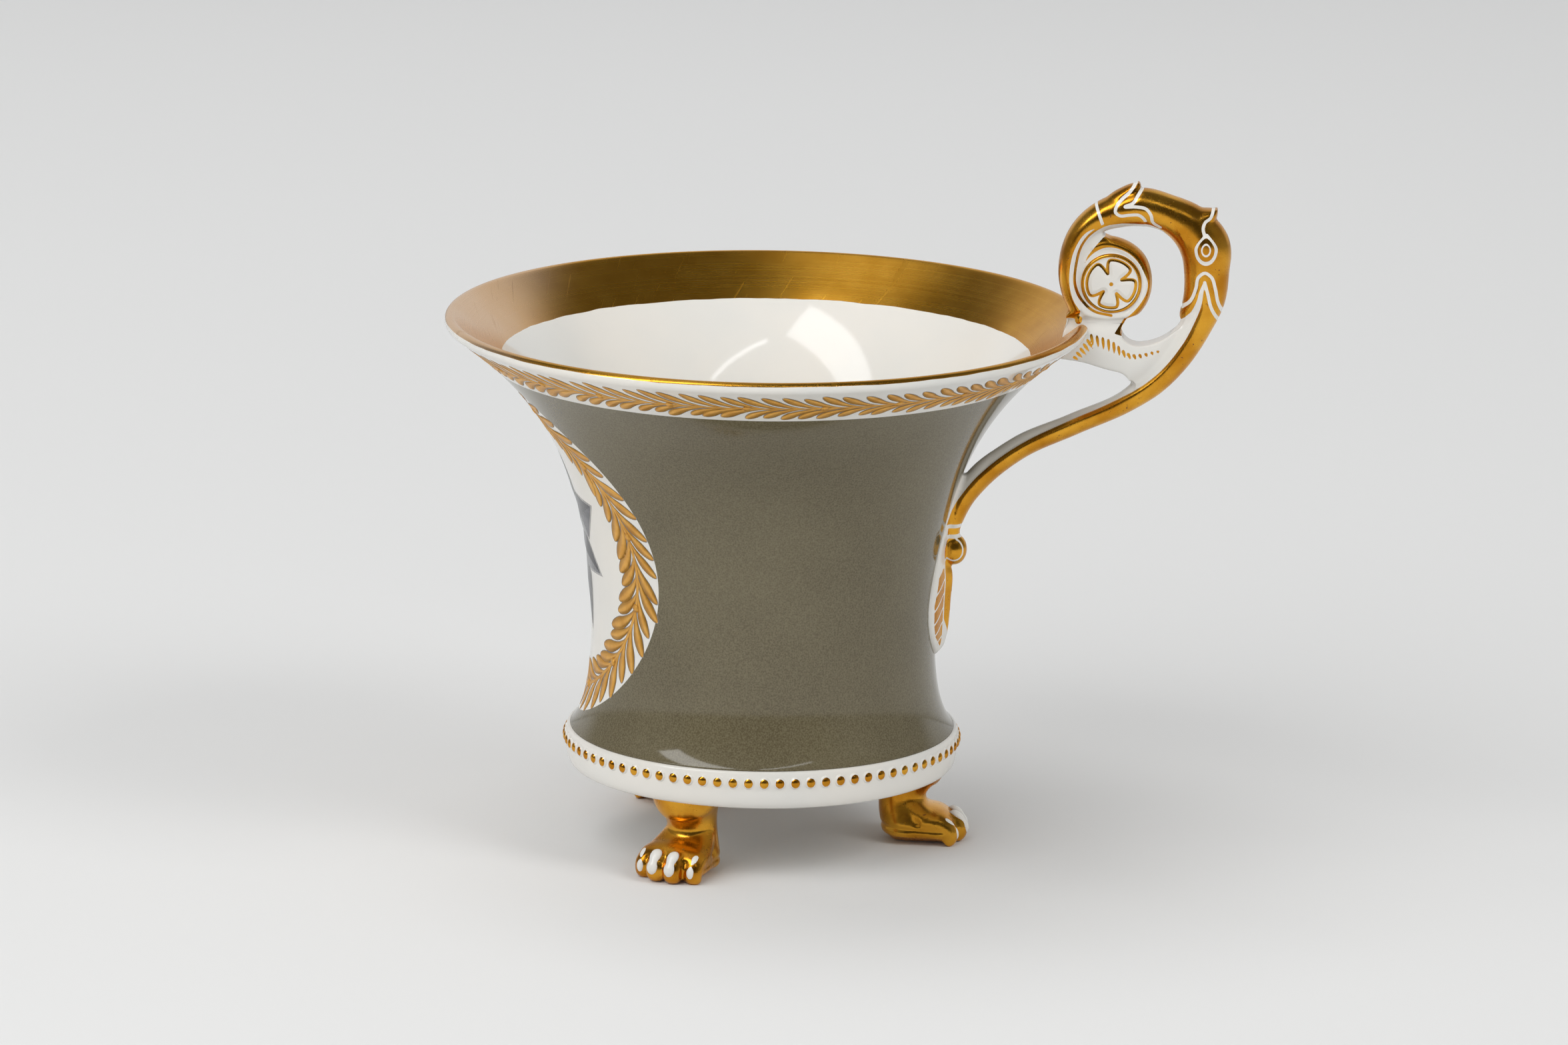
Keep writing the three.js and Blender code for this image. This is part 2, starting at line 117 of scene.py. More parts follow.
# Meshes
def addPiece(name, mesh, *finishes):
    for finish in finishes:
        mesh.materials.append(finish)
    piece = bpy.data.objects.new(name, mesh)
    bpy.context.scene.collection.objects.link(piece)
    return piece


def meshOf(name, points, faces, smooth=True):         # points in millimetres
    mesh = bpy.data.meshes.new(name)
    mesh.from_pydata((np.asarray(points) * mm).tolist(), [], faces)
    mesh.polygons.foreach_set("use_smooth", [smooth] * len(mesh.polygons))
    mesh.update()
    return mesh


def addField(mesh, name, values):                     # one number at each point of a mesh
    mesh.attributes.new(name, "FLOAT", "POINT").data.foreach_set("value", np.asarray(values, np.float32))


def turned(profile, steps, centre):                   # revolves (radius, z) points, from axis to axis
    profile = np.asarray(profile, float)
    angles = np.arange(steps) * 2 * math.pi / steps
    ring = profile[1:-1]
    points = [(centre, 0, profile[0, 1])]
    for radius, z in ring:
        points += [(centre + radius * math.cos(a), radius * math.sin(a), z) for a in angles]
    points.append((centre, 0, profile[-1, 1]))
    faces = []
    last = len(points) - 1
    for j in range(steps):
        k = (j + 1) % steps
        faces.append((0, 1 + k, 1 + j))
        for i in range(len(ring) - 1):
            low, high = 1 + i * steps, 1 + (i + 1) * steps
            faces.append((low + j, low + k, high + k, high + j))
        top = 1 + (len(ring) - 1) * steps
        faces.append((top + j, top + k, last))
    return np.array(points), faces


def bezier(start, first, second, end, steps):
    t = np.linspace(0, 1, steps)[:, None]
    return ((1 - t) ** 3 * np.array(start) + 3 * (1 - t) ** 2 * t * np.array(first)
            + 3 * (1 - t) * t ** 2 * np.array(second) + t ** 3 * np.array(end))


def lengths(path):
    return np.concatenate([[0], np.cumsum(np.linalg.norm(np.diff(path, axis=0), axis=1))])


def finishPiece(piece, slot, *nodes):
    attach(piece, "root")
    if nodes:
        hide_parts(*nodes)


# Finishes: scales of noises are per metre, depths of ripples are millimetres
midRange = (0.3, 0.7)                                 # where most values of a noise lie
glaze = {"cool": rgb(228, 227, 222), "warm": rgb(236, 232, 224), "cloudScale": 45, "roughScale": 260,
         "roughness": 0.06, "roughSpread": 0.06, "rippleScale": 420, "ripple": 0.02}
gilding = {"dark": rgb(196, 128, 30), "light": rgb(234, 172, 58), "worn": rgb(112, 66, 24), "toneScale": 150,
           "speckScale": 1900, "speckFrom": (0.66, 0.72), "patchScale": 320, "patchFrom": (0.5, 0.62),
           "speckLoss": 0.8, "edge": 0.03, "roughScale": 700, "roughness": 0.1, "roughSpread": 0.16,
           "whiteRoughness": 0.08, "rippleScale": 900, "ripple": 0.012}
laurelGold = {"dark": rgb(212, 152, 62), "light": rgb(230, 174, 84), "toneScale": 500, "metal": 0.4,
              "roughScale": 2500, "roughness": 0.3, "roughSpread": 0.2, "rippleScale": 3500, "ripple": 0.01}
laurelEdging = {"dark": rgb(166, 156, 150), "light": rgb(188, 178, 172), "toneScale": 700, "roughness": 0.25}


def newFinish(name):
    finish = bpy.data.materials.new(name)
    finish.use_nodes = True
    tree = finish.node_tree
    shader = tree.nodes["Principled BSDF"]
    return finish, Wire(tree), shader


def place(start):
    return start.node("ShaderNodeTexCoord", out="Object")


def noise(start, scale, detail=2.0, vector=None):
    return start.node("ShaderNodeTexNoise", None,
                      {"Vector": vector or place(start), "Scale": scale, "Detail": detail})


def field(start, name):
    return start.node("ShaderNodeAttribute", {"attribute_name": name}, out="Fac")


def dent(start, height, depth):                       # a bump, its depth in millimetres
    return start.node("ShaderNodeBump", None, {"Height": height, "Distance": depth * mm, "Strength": 1.0})


def goldColour(start):                                # brushed-on gold: thicker and thinner, with worn specks
    tone = noise(start, gilding["toneScale"], detail=4).step(*midRange)
    patches = noise(start, gilding["patchScale"]).step(*gilding["patchFrom"])
    specks = noise(start, gilding["speckScale"]).step(*gilding["speckFrom"]) * patches
    return specks.mix(tone.mix(gilding["dark"], gilding["light"]), gilding["worn"]), specks


def whiteColour(start):
    return noise(start, glaze["cloudScale"], detail=3).step(*midRange).mix(glaze["cool"], glaze["warm"])


def makeWhiteGlaze():
    finish, start, shader = newFinish("whiteGlaze")
    start.feed(shader.inputs["Base Color"], whiteColour(start))
    start.feed(shader.inputs["Roughness"],
               noise(start, glaze["roughScale"]) * glaze["roughSpread"] + glaze["roughness"])
    ripple = noise(start, glaze["rippleScale"], detail=1)
    start.feed(shader.inputs["Normal"], dent(start, ripple, glaze["ripple"]))
    return finish


def makePaintedPorcelain():                           # gilded where the field "gold" is above zero
    finish, start, shader = newFinish("paintedPorcelain")
    gold, specks = goldColour(start)
    share = field(start, "gold").step(-gilding["edge"], gilding["edge"])
    start.feed(shader.inputs["Base Color"], share.mix(whiteColour(start), gold))
    start.feed(shader.inputs["Metallic"], share * (1 - gilding["speckLoss"] * specks))
    rough = gilding["roughness"] + noise(start, gilding["roughScale"], detail=3) * gilding["roughSpread"]
    start.feed(shader.inputs["Roughness"], share * rough + gilding["whiteRoughness"])
    start.feed(shader.inputs["Normal"], dent(start, noise(start, gilding["rippleScale"]), gilding["ripple"]))
    return finish


def makeLeafGold():
    finish, start, shader = newFinish("leafGold")
    tone = noise(start, laurelGold["toneScale"], detail=4).step(*midRange)
    start.feed(shader.inputs["Base Color"], tone.mix(laurelGold["dark"], laurelGold["light"]))
    start.feed(shader.inputs["Roughness"],
               noise(start, laurelGold["roughScale"]) * laurelGold["roughSpread"] + laurelGold["roughness"])
    ripple = noise(start, laurelGold["rippleScale"])
    start.feed(shader.inputs["Normal"], dent(start, ripple, laurelGold["ripple"]))
    shader.inputs["Metallic"].default_value = laurelGold["metal"]
    return finish


def makeLeafEdging():
    finish, start, shader = newFinish("leafEdging")
    tone = noise(start, laurelEdging["toneScale"])
    start.feed(shader.inputs["Base Color"], tone.mix(laurelEdging["dark"], laurelEdging["light"]))
    shader.inputs["Roughness"].default_value = laurelEdging["roughness"]
    return finish


whiteGlaze = makeWhiteGlaze()
paintedPorcelain = makePaintedPorcelain()
leafGold = makeLeafGold()
leafEdging = makeLeafEdging()
print("finishes ready")


# Bowl: the wall is one curve from the seat to the waist and one from the waist to the lip
wall = {"thickness": 1.8, "waistRadius": 25.9, "waistHeight": 15.6, "seatRadius": 29.0, "flareAngle": 35.5,
        "flareRise": 25.0, "flareRun": 15.4, "footAngle": 48.0, "footDrop": 6.3, "footRun": 4.0,
        "floorThickness": 4.0, "floorFillet": 9.0, "filletSteps": 14, "steps": 288, "lipSteps": 15,
        "wallSteps": (44, 88)}
reserve = {"centre": 31.0, "halfWidth": 27.0, "halfHeight": 28.6}
# Edges of the painted bands: how far they wave, and how much more or less at the inside and at the ground
bands = {"friezeLow": 60.7, "goldOutside": 26.0, "goldInsideDrop": 6.15, "edge": 0.05, "waveScale": 160,
         "wave": 0.3, "insideWave": 2, "groundWave": 0.4, "ripple": 0.006}
# The speckled ground: a fine grain, soft clouds and a few brown stains
ground = {"dark": rgb(90, 81, 60), "light": rgb(120, 112, 87), "stain": rgb(78, 70, 50), "grainScale": 4200,
          "grainShare": 0.72, "cloudScale": 40, "cloudShare": 0.28, "stainScale": 75,
          "stainFrom": (0.66, 0.78), "stainShare": 0.35, "roughness": 0.07, "grainRoughness": 0.06}
# The gold band round the rim: streaked, scratched, and rubbed opposite the handle, between two x in metres
rimBand = {"dark": rgb(212, 150, 44), "light": rgb(232, 172, 62), "toneFrom": (0.25, 0.75), "streakRound": 14,
           "streakAlong": 2.4, "streakShare": 0.3, "cloudScale": 240, "cloudShare": 0.7,
           "scratchTurn": (0.5, 0.9, 0.7), "scratchSize": (1 / 2600, 1 / 60, 1 / 60),
           "scratchFrom": (0.66, 0.7), "rubbed": rgb(238, 202, 164), "rubbedFrom": (-0.040, -0.052),
           "rubbedScale": 90, "rubbedShare": 0.6, "roughness": 0.25, "streakRoughness": 0.04,
           "scratchRoughness": 0.1, "streakRelief": 0.06, "scratchRelief": 0.3}


def outerWall():
    lean = math.radians(wall["flareAngle"])
    foot = math.radians(wall["footAngle"])
    half = wall["thickness"] / 2
    lip = np.array([lipRadius - half, rimZ - half])
    end = lip + half * np.array([math.sin(lean), -math.cos(lean)])
    waistZ = seatZ + wall["waistHeight"]
    waist = (wall["waistRadius"], waistZ)
    seat = (wall["seatRadius"], seatZ)
    footward = (seat[0] - wall["footRun"] * math.cos(foot), seatZ + wall["footRun"] * math.sin(foot))
    lower = bezier(seat, footward, (waist[0], waistZ - wall["footDrop"]), waist, wall["wallSteps"][0])
    upper = bezier(waist, (waist[0], waistZ + wall["flareRise"]),
                   (end[0] - wall["flareRun"] * math.cos(lean), end[1] - wall["flareRun"] * math.sin(lean)),
                   end, wall["wallSteps"][1])
    return np.vstack([lower, upper[1:]]), lip, lean


def inset(path, depth):                               # a path moved to its left
    along = np.gradient(path, axis=0)
    along /= np.linalg.norm(along, axis=1)[:, None]
    return path + depth * np.stack([-along[:, 1], along[:, 0]], 1)


outer, lipCentre, lipLean = outerWall()
outerAlong = lengths(outer)


def bowlProfile():
    half = wall["thickness"] / 2
    turns = np.linspace(lipLean - math.pi / 2, lipLean + math.pi / 2, wall["lipSteps"])[1:-1]
    lipArc = lipCentre + half * np.stack([np.cos(turns), np.sin(turns)], 1)
    floorZ = seatZ + wall["floorThickness"]
    inner = inset(outer, wall["thickness"])
    inner = inner[inner[:, 1] > floorZ + wall["floorFillet"]][::-1]
    bends = np.linspace(0, math.pi / 2, wall["filletSteps"])[1:]
    fillet = np.stack([inner[-1, 0] - wall["floorFillet"] * (1 - np.cos(bends)),
                       floorZ + wall["floorFillet"] * (1 - np.sin(bends))], 1)
    return np.vstack([[(0, seatZ)], outer, lipArc, inner, fillet, [(0, floorZ)]]), len(outer), len(lipArc)


def makeBowlFinish(goldLow, goldHigh):
    finish, start, shader = newFinish("bowlFinish")
    here = place(start)
    along = field(start, "along")
    wave = noise(start, bands["waveScale"]) * bands["wave"] - bands["wave"] / 2
    edge = bands["edge"]
    gold = ((along + wave).step(goldLow - edge, goldLow + edge)
            * (along + wave * bands["insideWave"]).step(goldHigh + edge, goldHigh - edge))
    painted = ((along + wave * bands["groundWave"]).step(bands["friezeLow"] + edge, bands["friezeLow"] - edge)
               * field(start, "reserve").step(-edge, edge))
    # The ground
    grain = noise(start, ground["grainScale"], detail=3).step(*midRange)
    clouds = noise(start, ground["cloudScale"], detail=3).step(*midRange)
    stains = noise(start, ground["stainScale"], detail=4).step(*ground["stainFrom"]) * ground["stainShare"]
    speckle = grain * ground["grainShare"] + clouds * ground["cloudShare"]
    groundColour = stains.mix(speckle.mix(ground["dark"], ground["light"]), ground["stain"])
    # The gold band: its streaks run round the rim
    parts = start.node("ShaderNodeSeparateXYZ", None, {0: here})
    ringPlace = start.node("ShaderNodeCombineXYZ", None, {
        "X": parts * rimBand["streakRound"], "Y": parts.other(1) * rimBand["streakRound"],
        "Z": along * rimBand["streakAlong"]})
    streaks = noise(start, 1.0, detail=4, vector=ringPlace)
    scratchPlace = start.node("ShaderNodeMapping", {"vector_type": "TEXTURE"}, {
        "Vector": here, "Rotation": rimBand["scratchTurn"], "Scale": rimBand["scratchSize"]})
    scratches = noise(start, 1.0, vector=scratchPlace).step(*rimBand["scratchFrom"])
    bandClouds = noise(start, rimBand["cloudScale"], detail=4) * rimBand["cloudShare"]
    bandTone = (streaks * rimBand["streakShare"] + bandClouds).step(*rimBand["toneFrom"])
    rubbing = noise(start, rimBand["rubbedScale"], detail=4) * rimBand["rubbedShare"] + rimBand["rubbedShare"]
    rubbed = parts.step(*rimBand["rubbedFrom"]) * rubbing
    bandColour = rubbed.mix(bandTone.mix(rimBand["dark"], rimBand["light"]), rimBand["rubbed"])
    start.feed(shader.inputs["Base Color"],
               gold.mix(painted.mix(whiteColour(start), groundColour), bandColour))
    start.feed(shader.inputs["Metallic"], gold)
    goldRough = (rimBand["roughness"] + streaks * rimBand["streakRoughness"]
                 + scratches * rimBand["scratchRoughness"])
    glazeRough = ground["roughness"] + ground["grainRoughness"] * grain * painted
    start.feed(shader.inputs["Roughness"], gold * goldRough + (1 - gold) * glazeRough)
    goldRelief = streaks * rimBand["streakRelief"] + scratches * rimBand["scratchRelief"]
    relief = gold * goldRelief + (1 - gold) * noise(start, glaze["rippleScale"], detail=1)
    start.feed(shader.inputs["Normal"], dent(start, relief, bands["ripple"]))
    return finish


def makeBowl():
    profile, outerCount, lipCount = bowlProfile()
    points, faces = turned(profile, wall["steps"], axisX)
    along = lengths(profile[1:-1])
    lipLength = wall["thickness"] / 2
    goldLow = outerAlong[-1] + lipLength * (math.radians(bands["goldOutside"]) - lipLean + math.pi / 2)
    inside = profile[1:-1][outerCount + lipCount:]
    edgeRow = outerCount + lipCount + int(np.argmin(abs(inside[:, 1] - (rimZ - bands["goldInsideDrop"]))))
    goldHigh = along[edgeRow]
    mesh = meshOf("bowl", points, faces)
    alongField = np.concatenate([[0], np.repeat(along, wall["steps"]), [along[-1]]])
    addField(mesh, "along", alongField)
    radius = np.hypot(points[:, 0] - axisX, points[:, 1])
    turn = np.arctan2(-points[:, 1], -(points[:, 0] - axisX))
    sideways = radius * turn / reserve["halfWidth"]
    upward = (alongField - reserve["centre"]) / reserve["halfHeight"]
    addField(mesh, "reserve", (np.hypot(sideways, upward) - 1) * reserve["halfWidth"])
    piece = addPiece("cup_bowl", mesh, makeBowlFinish(goldLow, goldHigh))
    finishPiece(piece, "speckled_ground", "bowl")


makeBowl()
print("bowl ready")


# Geometry node trees
def newTree(name, inputs):
    tree = bpy.data.node_groups.new(name, "GeometryNodeTree")
    tree.interface.new_socket("Geometry", in_out="OUTPUT", socket_type="NodeSocketGeometry")
    for label, kind in inputs.items():
        tree.interface.new_socket(label, in_out="INPUT", socket_type="NodeSocket" + kind)
    entry = tree.nodes.new("NodeGroupInput")
    wires = {label: Wire(tree, entry.outputs[label]) for label in inputs}
    return tree, Wire(tree), wires


def closeTree(start, geometry):
    leave = start.tree.nodes.new("NodeGroupOutput")
    start.feed(leave.inputs["Geometry"], geometry)


def grow(name, tree, settings):                       # runs a tree and keeps its result as a plain mesh
    holder = addPiece(name + "_holder", bpy.data.meshes.new(name))
    modifier = holder.modifiers.new("nodes", "NODES")
    modifier.node_group = tree
    for socket in tree.interface.items_tree:
        if socket.in_out == "INPUT":
            modifier[socket.identifier] = settings[socket.name]
    evaluated = holder.evaluated_get(bpy.context.evaluated_depsgraph_get())
    mesh = bpy.data.meshes.new_from_object(evaluated)
    mesh.name = name
    bpy.data.objects.remove(holder)
    mesh.polygons.foreach_set("use_smooth", [True] * len(mesh.polygons))
    return addPiece(name, mesh)


def curveObject(name, points, cyclic=False):          # points in millimetres, a helper for the node trees
    curve = bpy.data.curves.new(name, "CURVE")
    curve.dimensions = "3D"
    spline = curve.splines.new("POLY")
    spline.points.add(len(points) - 1)
    flat = [value for x, y, z in points for value in (x * mm, y * mm, z * mm, 1.0)]
    spline.points.foreach_set("co", flat)
    spline.use_cyclic_u = cyclic
    helper = bpy.data.objects.new(name, curve)
    bpy.context.scene.collection.objects.link(helper)
    return helper


# Laurel: leaves laid out flat along a path, then wrapped on the wall of the bowl
laurelLeaf = {"spans": (0, 0.16, 0.32, 0.46, 0.58, 0.68, 0.78, 0.87, 0.94, 0.985, 1.0), "ease": 0.06,
              "straight": 0.25, "stalk": 0.12, "swellPower": 1.5, "least": 0.02, "edging": 0.1,
              "edgingHeights": (0.015, 0.015, 0.12), "goldHeights": (0.03, 0.04, 0.1), "berryFlat": 0.25}
laurelGrowth = {"size": (0.9, 1.08), "swing": (-0.05, 0.05), "swingSeed": 7, "stemHeight": 0.1,
                "stemSteps": 4}


def leafMesh(name, length, rise, width, widest):
    sizes = laurelLeaf
    spans = np.array(sizes["spans"])
    forward = length * ((1 + sizes["ease"]) * spans - sizes["ease"] * spans ** 2)
    upward = rise * (sizes["straight"] * spans + (1 - sizes["straight"]) * spans ** 2)
    centre = np.stack([forward, upward], 1)
    stalk = sizes["stalk"] + (1 - sizes["stalk"]) * (spans / widest) ** sizes["swellPower"]
    blade = np.sqrt(np.clip(1 - ((spans - widest) / (1 - widest)) ** 2, 0, 1))
    swell = np.maximum(np.where(spans < widest, stalk, blade), sizes["least"])
    along = np.gradient(centre, axis=0)
    along /= np.linalg.norm(along, axis=1)[:, None]
    across = np.stack([-along[:, 1], along[:, 0]], 1)
    points, faces, marks = [], [], []
    for extra, heights in ((sizes["edging"], sizes["edgingHeights"]), (0.0, sizes["goldHeights"])):
        edgeHeight, ridge, sunk = heights
        first = len(points)
        half = (width / 2 * swell + extra)[:, None]
        tip = centre + along * extra * np.where(spans == 1, 1, 0)[:, None]
        for spot, reach in zip(tip, half * across):
            points += [(*(spot + reach), edgeHeight), (*spot, ridge)]
            points += [(*(spot - reach), edgeHeight), (*spot, -sunk)]
        for i in range(len(spans) - 1):
            for j in range(4):
                a, b = first + 4 * i + j, first + 4 * i + (j + 1) % 4
                faces.append((a, b, b + 4, a + 4))
        end = first + 4 * (len(spans) - 1)
        faces += [(first + 3, first + 2, first + 1, first), (end, end + 1, end + 2, end + 3)]
        marks += [extra > 0] * (len(faces) - len(marks))
    mesh = meshOf(name, points, faces)
    mesh.attributes.new("edging", "BOOLEAN", "FACE").data.foreach_set("value", marks)
    return helperObject(name, mesh)


def berryMesh(name, radius):
    mesh = bpy.data.meshes.new(name)
    ball = bmesh.new()
    flat = Matrix.Diagonal((1, 1, laurelLeaf["berryFlat"], 1))
    bmesh.ops.create_icosphere(ball, subdivisions=1, radius=radius * mm, matrix=flat)
    ball.to_mesh(mesh)
    ball.free()
    return helperObject(name, mesh)


def helperObject(name, mesh):
    helper = bpy.data.objects.new(name, mesh)
    bpy.context.scene.collection.objects.link(helper)
    return helper


def laurelTree():
    tree, start, given = newTree("laurel", {
        "Path": "Object", "Wall": "Object", "Left leaf": "Object", "Right leaf": "Object", "Berry": "Object",
        "Leaves": "Int", "Leaves to a berry": "Int", "Stem width": "Float", "Arc radius": "Float",
        "Follow the flare": "Float", "First angle": "Float", "Axis": "Float", "Seed": "Int",
        "Gold": "Material", "Edging": "Material"})

    def shape(label):
        return start.node("GeometryNodeObjectInfo", {"transform_space": "ORIGINAL"}, {"Object": given[label]},
                          "Geometry")

    def between(limits, seed):
        return start.node("FunctionNodeRandomValue", {"data_type": "FLOAT"},
                          {2: limits[0], 3: limits[1], "Seed": seed}, 1)

    path = shape("Path")
    toPoints = start.node("GeometryNodeCurveToPoints", {"mode": "COUNT"},
                          {"Curve": path, "Count": given["Leaves"]})
    facing = start.node("FunctionNodeAlignRotationToVector", {"axis": "X", "pivot_axis": "Z"},
                        {"Vector": toPoints.other("Tangent")})
    rows = []
    for label, shift in (("Left leaf", 0), ("Right leaf", 1)):
        size = between(laurelGrowth["size"], given["Seed"] + shift)
        swing = between(laurelGrowth["swing"], given["Seed"] + shift + laurelGrowth["swingSeed"])
        turn = start.node("FunctionNodeAxisAngleToRotation", None, {"Axis": (0, 0, 1), "Angle": swing})
        both = start.node("FunctionNodeRotateRotation", {"rotation_space": "LOCAL"},
                          {"Rotation": facing, "Rotate By": turn})
        rows.append(start.node("GeometryNodeInstanceOnPoints", None, {
            "Points": toPoints, "Instance": shape(label), "Rotation": both, "Scale": size}))
    order = start.node("GeometryNodeInputIndex")
    chosen = start.node("FunctionNodeCompare", {"data_type": "FLOAT", "operation": "LESS_THAN"},
                        {0: start.sum("MODULO", order, given["Leaves to a berry"]), 1: 0.5})
    rows.append(start.node("GeometryNodeInstanceOnPoints", None, {
        "Points": toPoints, "Selection": chosen, "Instance": shape("Berry"), "Rotation": facing}))
    section = start.node("GeometryNodeCurvePrimitiveQuadrilateral", None,
                         {"Width": given["Stem width"], "Height": laurelGrowth["stemHeight"] * mm})
    fine = start.node("GeometryNodeResampleCurve", None,
                      {"Curve": path, "Count": given["Leaves"] * laurelGrowth["stemSteps"]})
    stem = start.node("GeometryNodeCurveToMesh", None,
                      {"Curve": fine, "Profile Curve": section, "Fill Caps": True})
    join = tree.nodes.new("GeometryNodeJoinGeometry")
    for row in rows + [stem]:
        tree.links.new(row.socket, join.inputs[0])
    flat = start.node("GeometryNodeRealizeInstances", None, {"Geometry": Wire(tree, join.outputs[0])})
    # Wrapping: x runs round the wall, y up along it and z off it
    spot = start.node("ShaderNodeSeparateXYZ", None, {0: start.node("GeometryNodeInputPosition")})
    onWall = start.node("GeometryNodeSampleCurve", {"mode": "LENGTH", "data_type": "FLOAT"},
                        {"Curves": shape("Wall"), "Length": spot.other("Y")}, "Position")
    tall = start.node("ShaderNodeSeparateXYZ", None, {0: onWall})
    lean = start.node("ShaderNodeSeparateXYZ", None, {0: onWall.other("Tangent")})
    reach = tall + spot.other("Z") * lean.other("Z")
    height = tall.other("Z") - spot.other("Z") * lean
    arc = given["Arc radius"] + given["Follow the flare"] * (tall - given["Arc radius"])
    angle = given["First angle"] + spot / arc
    wrapped = start.node("ShaderNodeCombineXYZ", None, {
        "X": given["Axis"] + reach * start.sum("COSINE", angle),
        "Y": reach * start.sum("SINE", angle), "Z": height})
    bent = start.node("GeometryNodeSetPosition", None, {"Geometry": flat, "Position": wrapped})
    gilt = start.node("GeometryNodeSetMaterial", None, {"Geometry": bent, "Material": given["Gold"]})
    onEdging = start.node("GeometryNodeInputNamedAttribute", {"data_type": "BOOLEAN"}, {"Name": "edging"})
    edged = start.node("GeometryNodeSetMaterial", None, {
        "Geometry": gilt, "Material": given["Edging"], "Selection": onEdging})
    closeTree(start, edged)
    return tree


# Leaf sizes: length, rise off the stem, width, and the share of the length where it is widest
frieze = {"leaves": 96, "toBerry": 4, "along": 64.4, "arcRadius": 43.8, "stem": 0.35, "berry": 0.75,
          "leafSizes": {"lower": (6.2, 2.75, 1.6, 0.76), "upper": (6.4, -3.7, 1.45, 0.7)},
          "followFlare": 0.0, "angle": 0.0, "seed": 3, "pathSteps": 400, "closed": False}
wreath = {"leaves": 52, "toBerry": 4, "halfWidth": 22.9, "halfHeight": 24.3, "stem": 0.5, "berry": 0.8,
          "leafSizes": {"outside": (6.6, 3.3, 1.75, 0.62), "inside": (5.6, -4.3, 1.9, 0.7)},
          "followFlare": 1.0, "angle": -math.pi, "seed": 11, "pathSteps": 360, "closed": True}


def laurelPaths():                                    # laid out flat: x round the wall, y along it
    steps = frieze["pathSteps"]
    whole = 2 * math.pi * frieze["arcRadius"]
    span = whole * (frieze["leaves"] - 1) / frieze["leaves"]
    band = [(-i / steps * span, frieze["along"], 0) for i in range(steps + 1)]
    turns = np.arange(wreath["pathSteps"]) * 2 * math.pi / wreath["pathSteps"]
    ring = [(wreath["halfWidth"] * math.sin(t), reserve["centre"] + wreath["halfHeight"] * math.cos(t), 0)
            for t in turns]
    return band, ring


def makeLaurels():
    tree = laurelTree()
    wallCurve = curveObject("wallCurve", [(radius, 0, z) for radius, z in outer])
    band, ring = laurelPaths()
    for name, sizes, path in (("frieze_laurel", frieze, band), ("wreath_laurel", wreath, ring)):
        line = curveObject(name + "_path", path, sizes["closed"])
        berry = berryMesh(name + "_berry", sizes["berry"])
        left, right = [leafMesh(name + side, *shape) for side, shape in sizes["leafSizes"].items()]
        piece = grow(name, tree, {
            "Path": line, "Wall": wallCurve, "Left leaf": left, "Right leaf": right, "Berry": berry,
            "Leaves": sizes["leaves"], "Leaves to a berry": sizes["toBerry"],
            "Stem width": sizes["stem"] * mm, "Arc radius": frieze["arcRadius"] * mm,
            "Follow the flare": sizes["followFlare"], "First angle": sizes["angle"], "Axis": axisX * mm,
            "Seed": sizes["seed"], "Gold": leafGold, "Edging": leafEdging})
        for helper in (line, berry, left, right):
            bpy.data.objects.remove(helper)
        finishPiece(piece, "gilding")
        print(name, len(piece.data.polygons), "faces")
    bpy.data.objects.remove(wallCurve)


makeLaurels()


# Forms that are joined, remeshed and smoothed
def throughSpots(stations, steps):                    # a smooth run of values through stations
    stations = np.asarray(stations, float)
    knots = lengths(stations[:, :2])
    spans = np.linspace(0, knots[-1], steps)
    slopes = np.gradient(stations, knots, axis=0)
    at = np.clip(np.searchsorted(knots, spans, side="right") - 1, 0, len(knots) - 2)
    width = (knots[at + 1] - knots[at])[:, None]
    t = ((spans - knots[at]) / (knots[at + 1] - knots[at]))[:, None]
    return ((2 * t ** 3 - 3 * t ** 2 + 1) * stations[at] + (t ** 3 - 2 * t ** 2 + t) * width * slopes[at]
            + (3 * t ** 2 - 2 * t ** 3) * stations[at + 1] + (t ** 3 - t ** 2) * width * slopes[at + 1])


def sweep(stations, steps, sides=28, shift=0.0):      # an oval along x, z, thickness, width stations
    run = throughSpots(stations, steps)
    along = np.gradient(run[:, :2], axis=0)
    along /= np.linalg.norm(along, axis=1)[:, None]
    turns = np.arange(sides) * 2 * math.pi / sides
    points = []
    for (x, z, thick, wide), (dx, dz) in zip(run, along):
        for turn in turns:
            outward = thick / 2 * math.cos(turn)
            points.append((x + dz * outward, shift + wide / 2 * math.sin(turn), z - dx * outward))
    faces = [tuple(range(sides - 1, -1, -1)), tuple(range((steps - 1) * sides, steps * sides))]
    for i in range(steps - 1):
        for j in range(sides):
            a, b = i * sides + j, i * sides + (j + 1) % sides
            faces.append((a, b, b + sides, a + sides))
    return np.array(points), faces


def oval(centre, halves, around=24, rings=14):        # an ellipsoid
    points = [(0, 0, -1)]
    for i in range(1, rings):
        low = math.pi * i / rings
        points += [(math.sin(low) * math.cos(a), math.sin(low) * math.sin(a), -math.cos(low))
                   for a in np.arange(around) * 2 * math.pi / around]
    points = np.array(points + [(0, 0, 1)]) * halves + centre
    faces = []
    last = len(points) - 1
    for j in range(around):
        k = (j + 1) % around
        faces.append((0, 1 + k, 1 + j))
        for i in range(rings - 2):
            low, high = 1 + i * around, 1 + (i + 1) * around
            faces.append((low + j, low + k, high + k, high + j))
        faces.append((1 + (rings - 2) * around + j, 1 + (rings - 2) * around + k, last))
    return points, faces


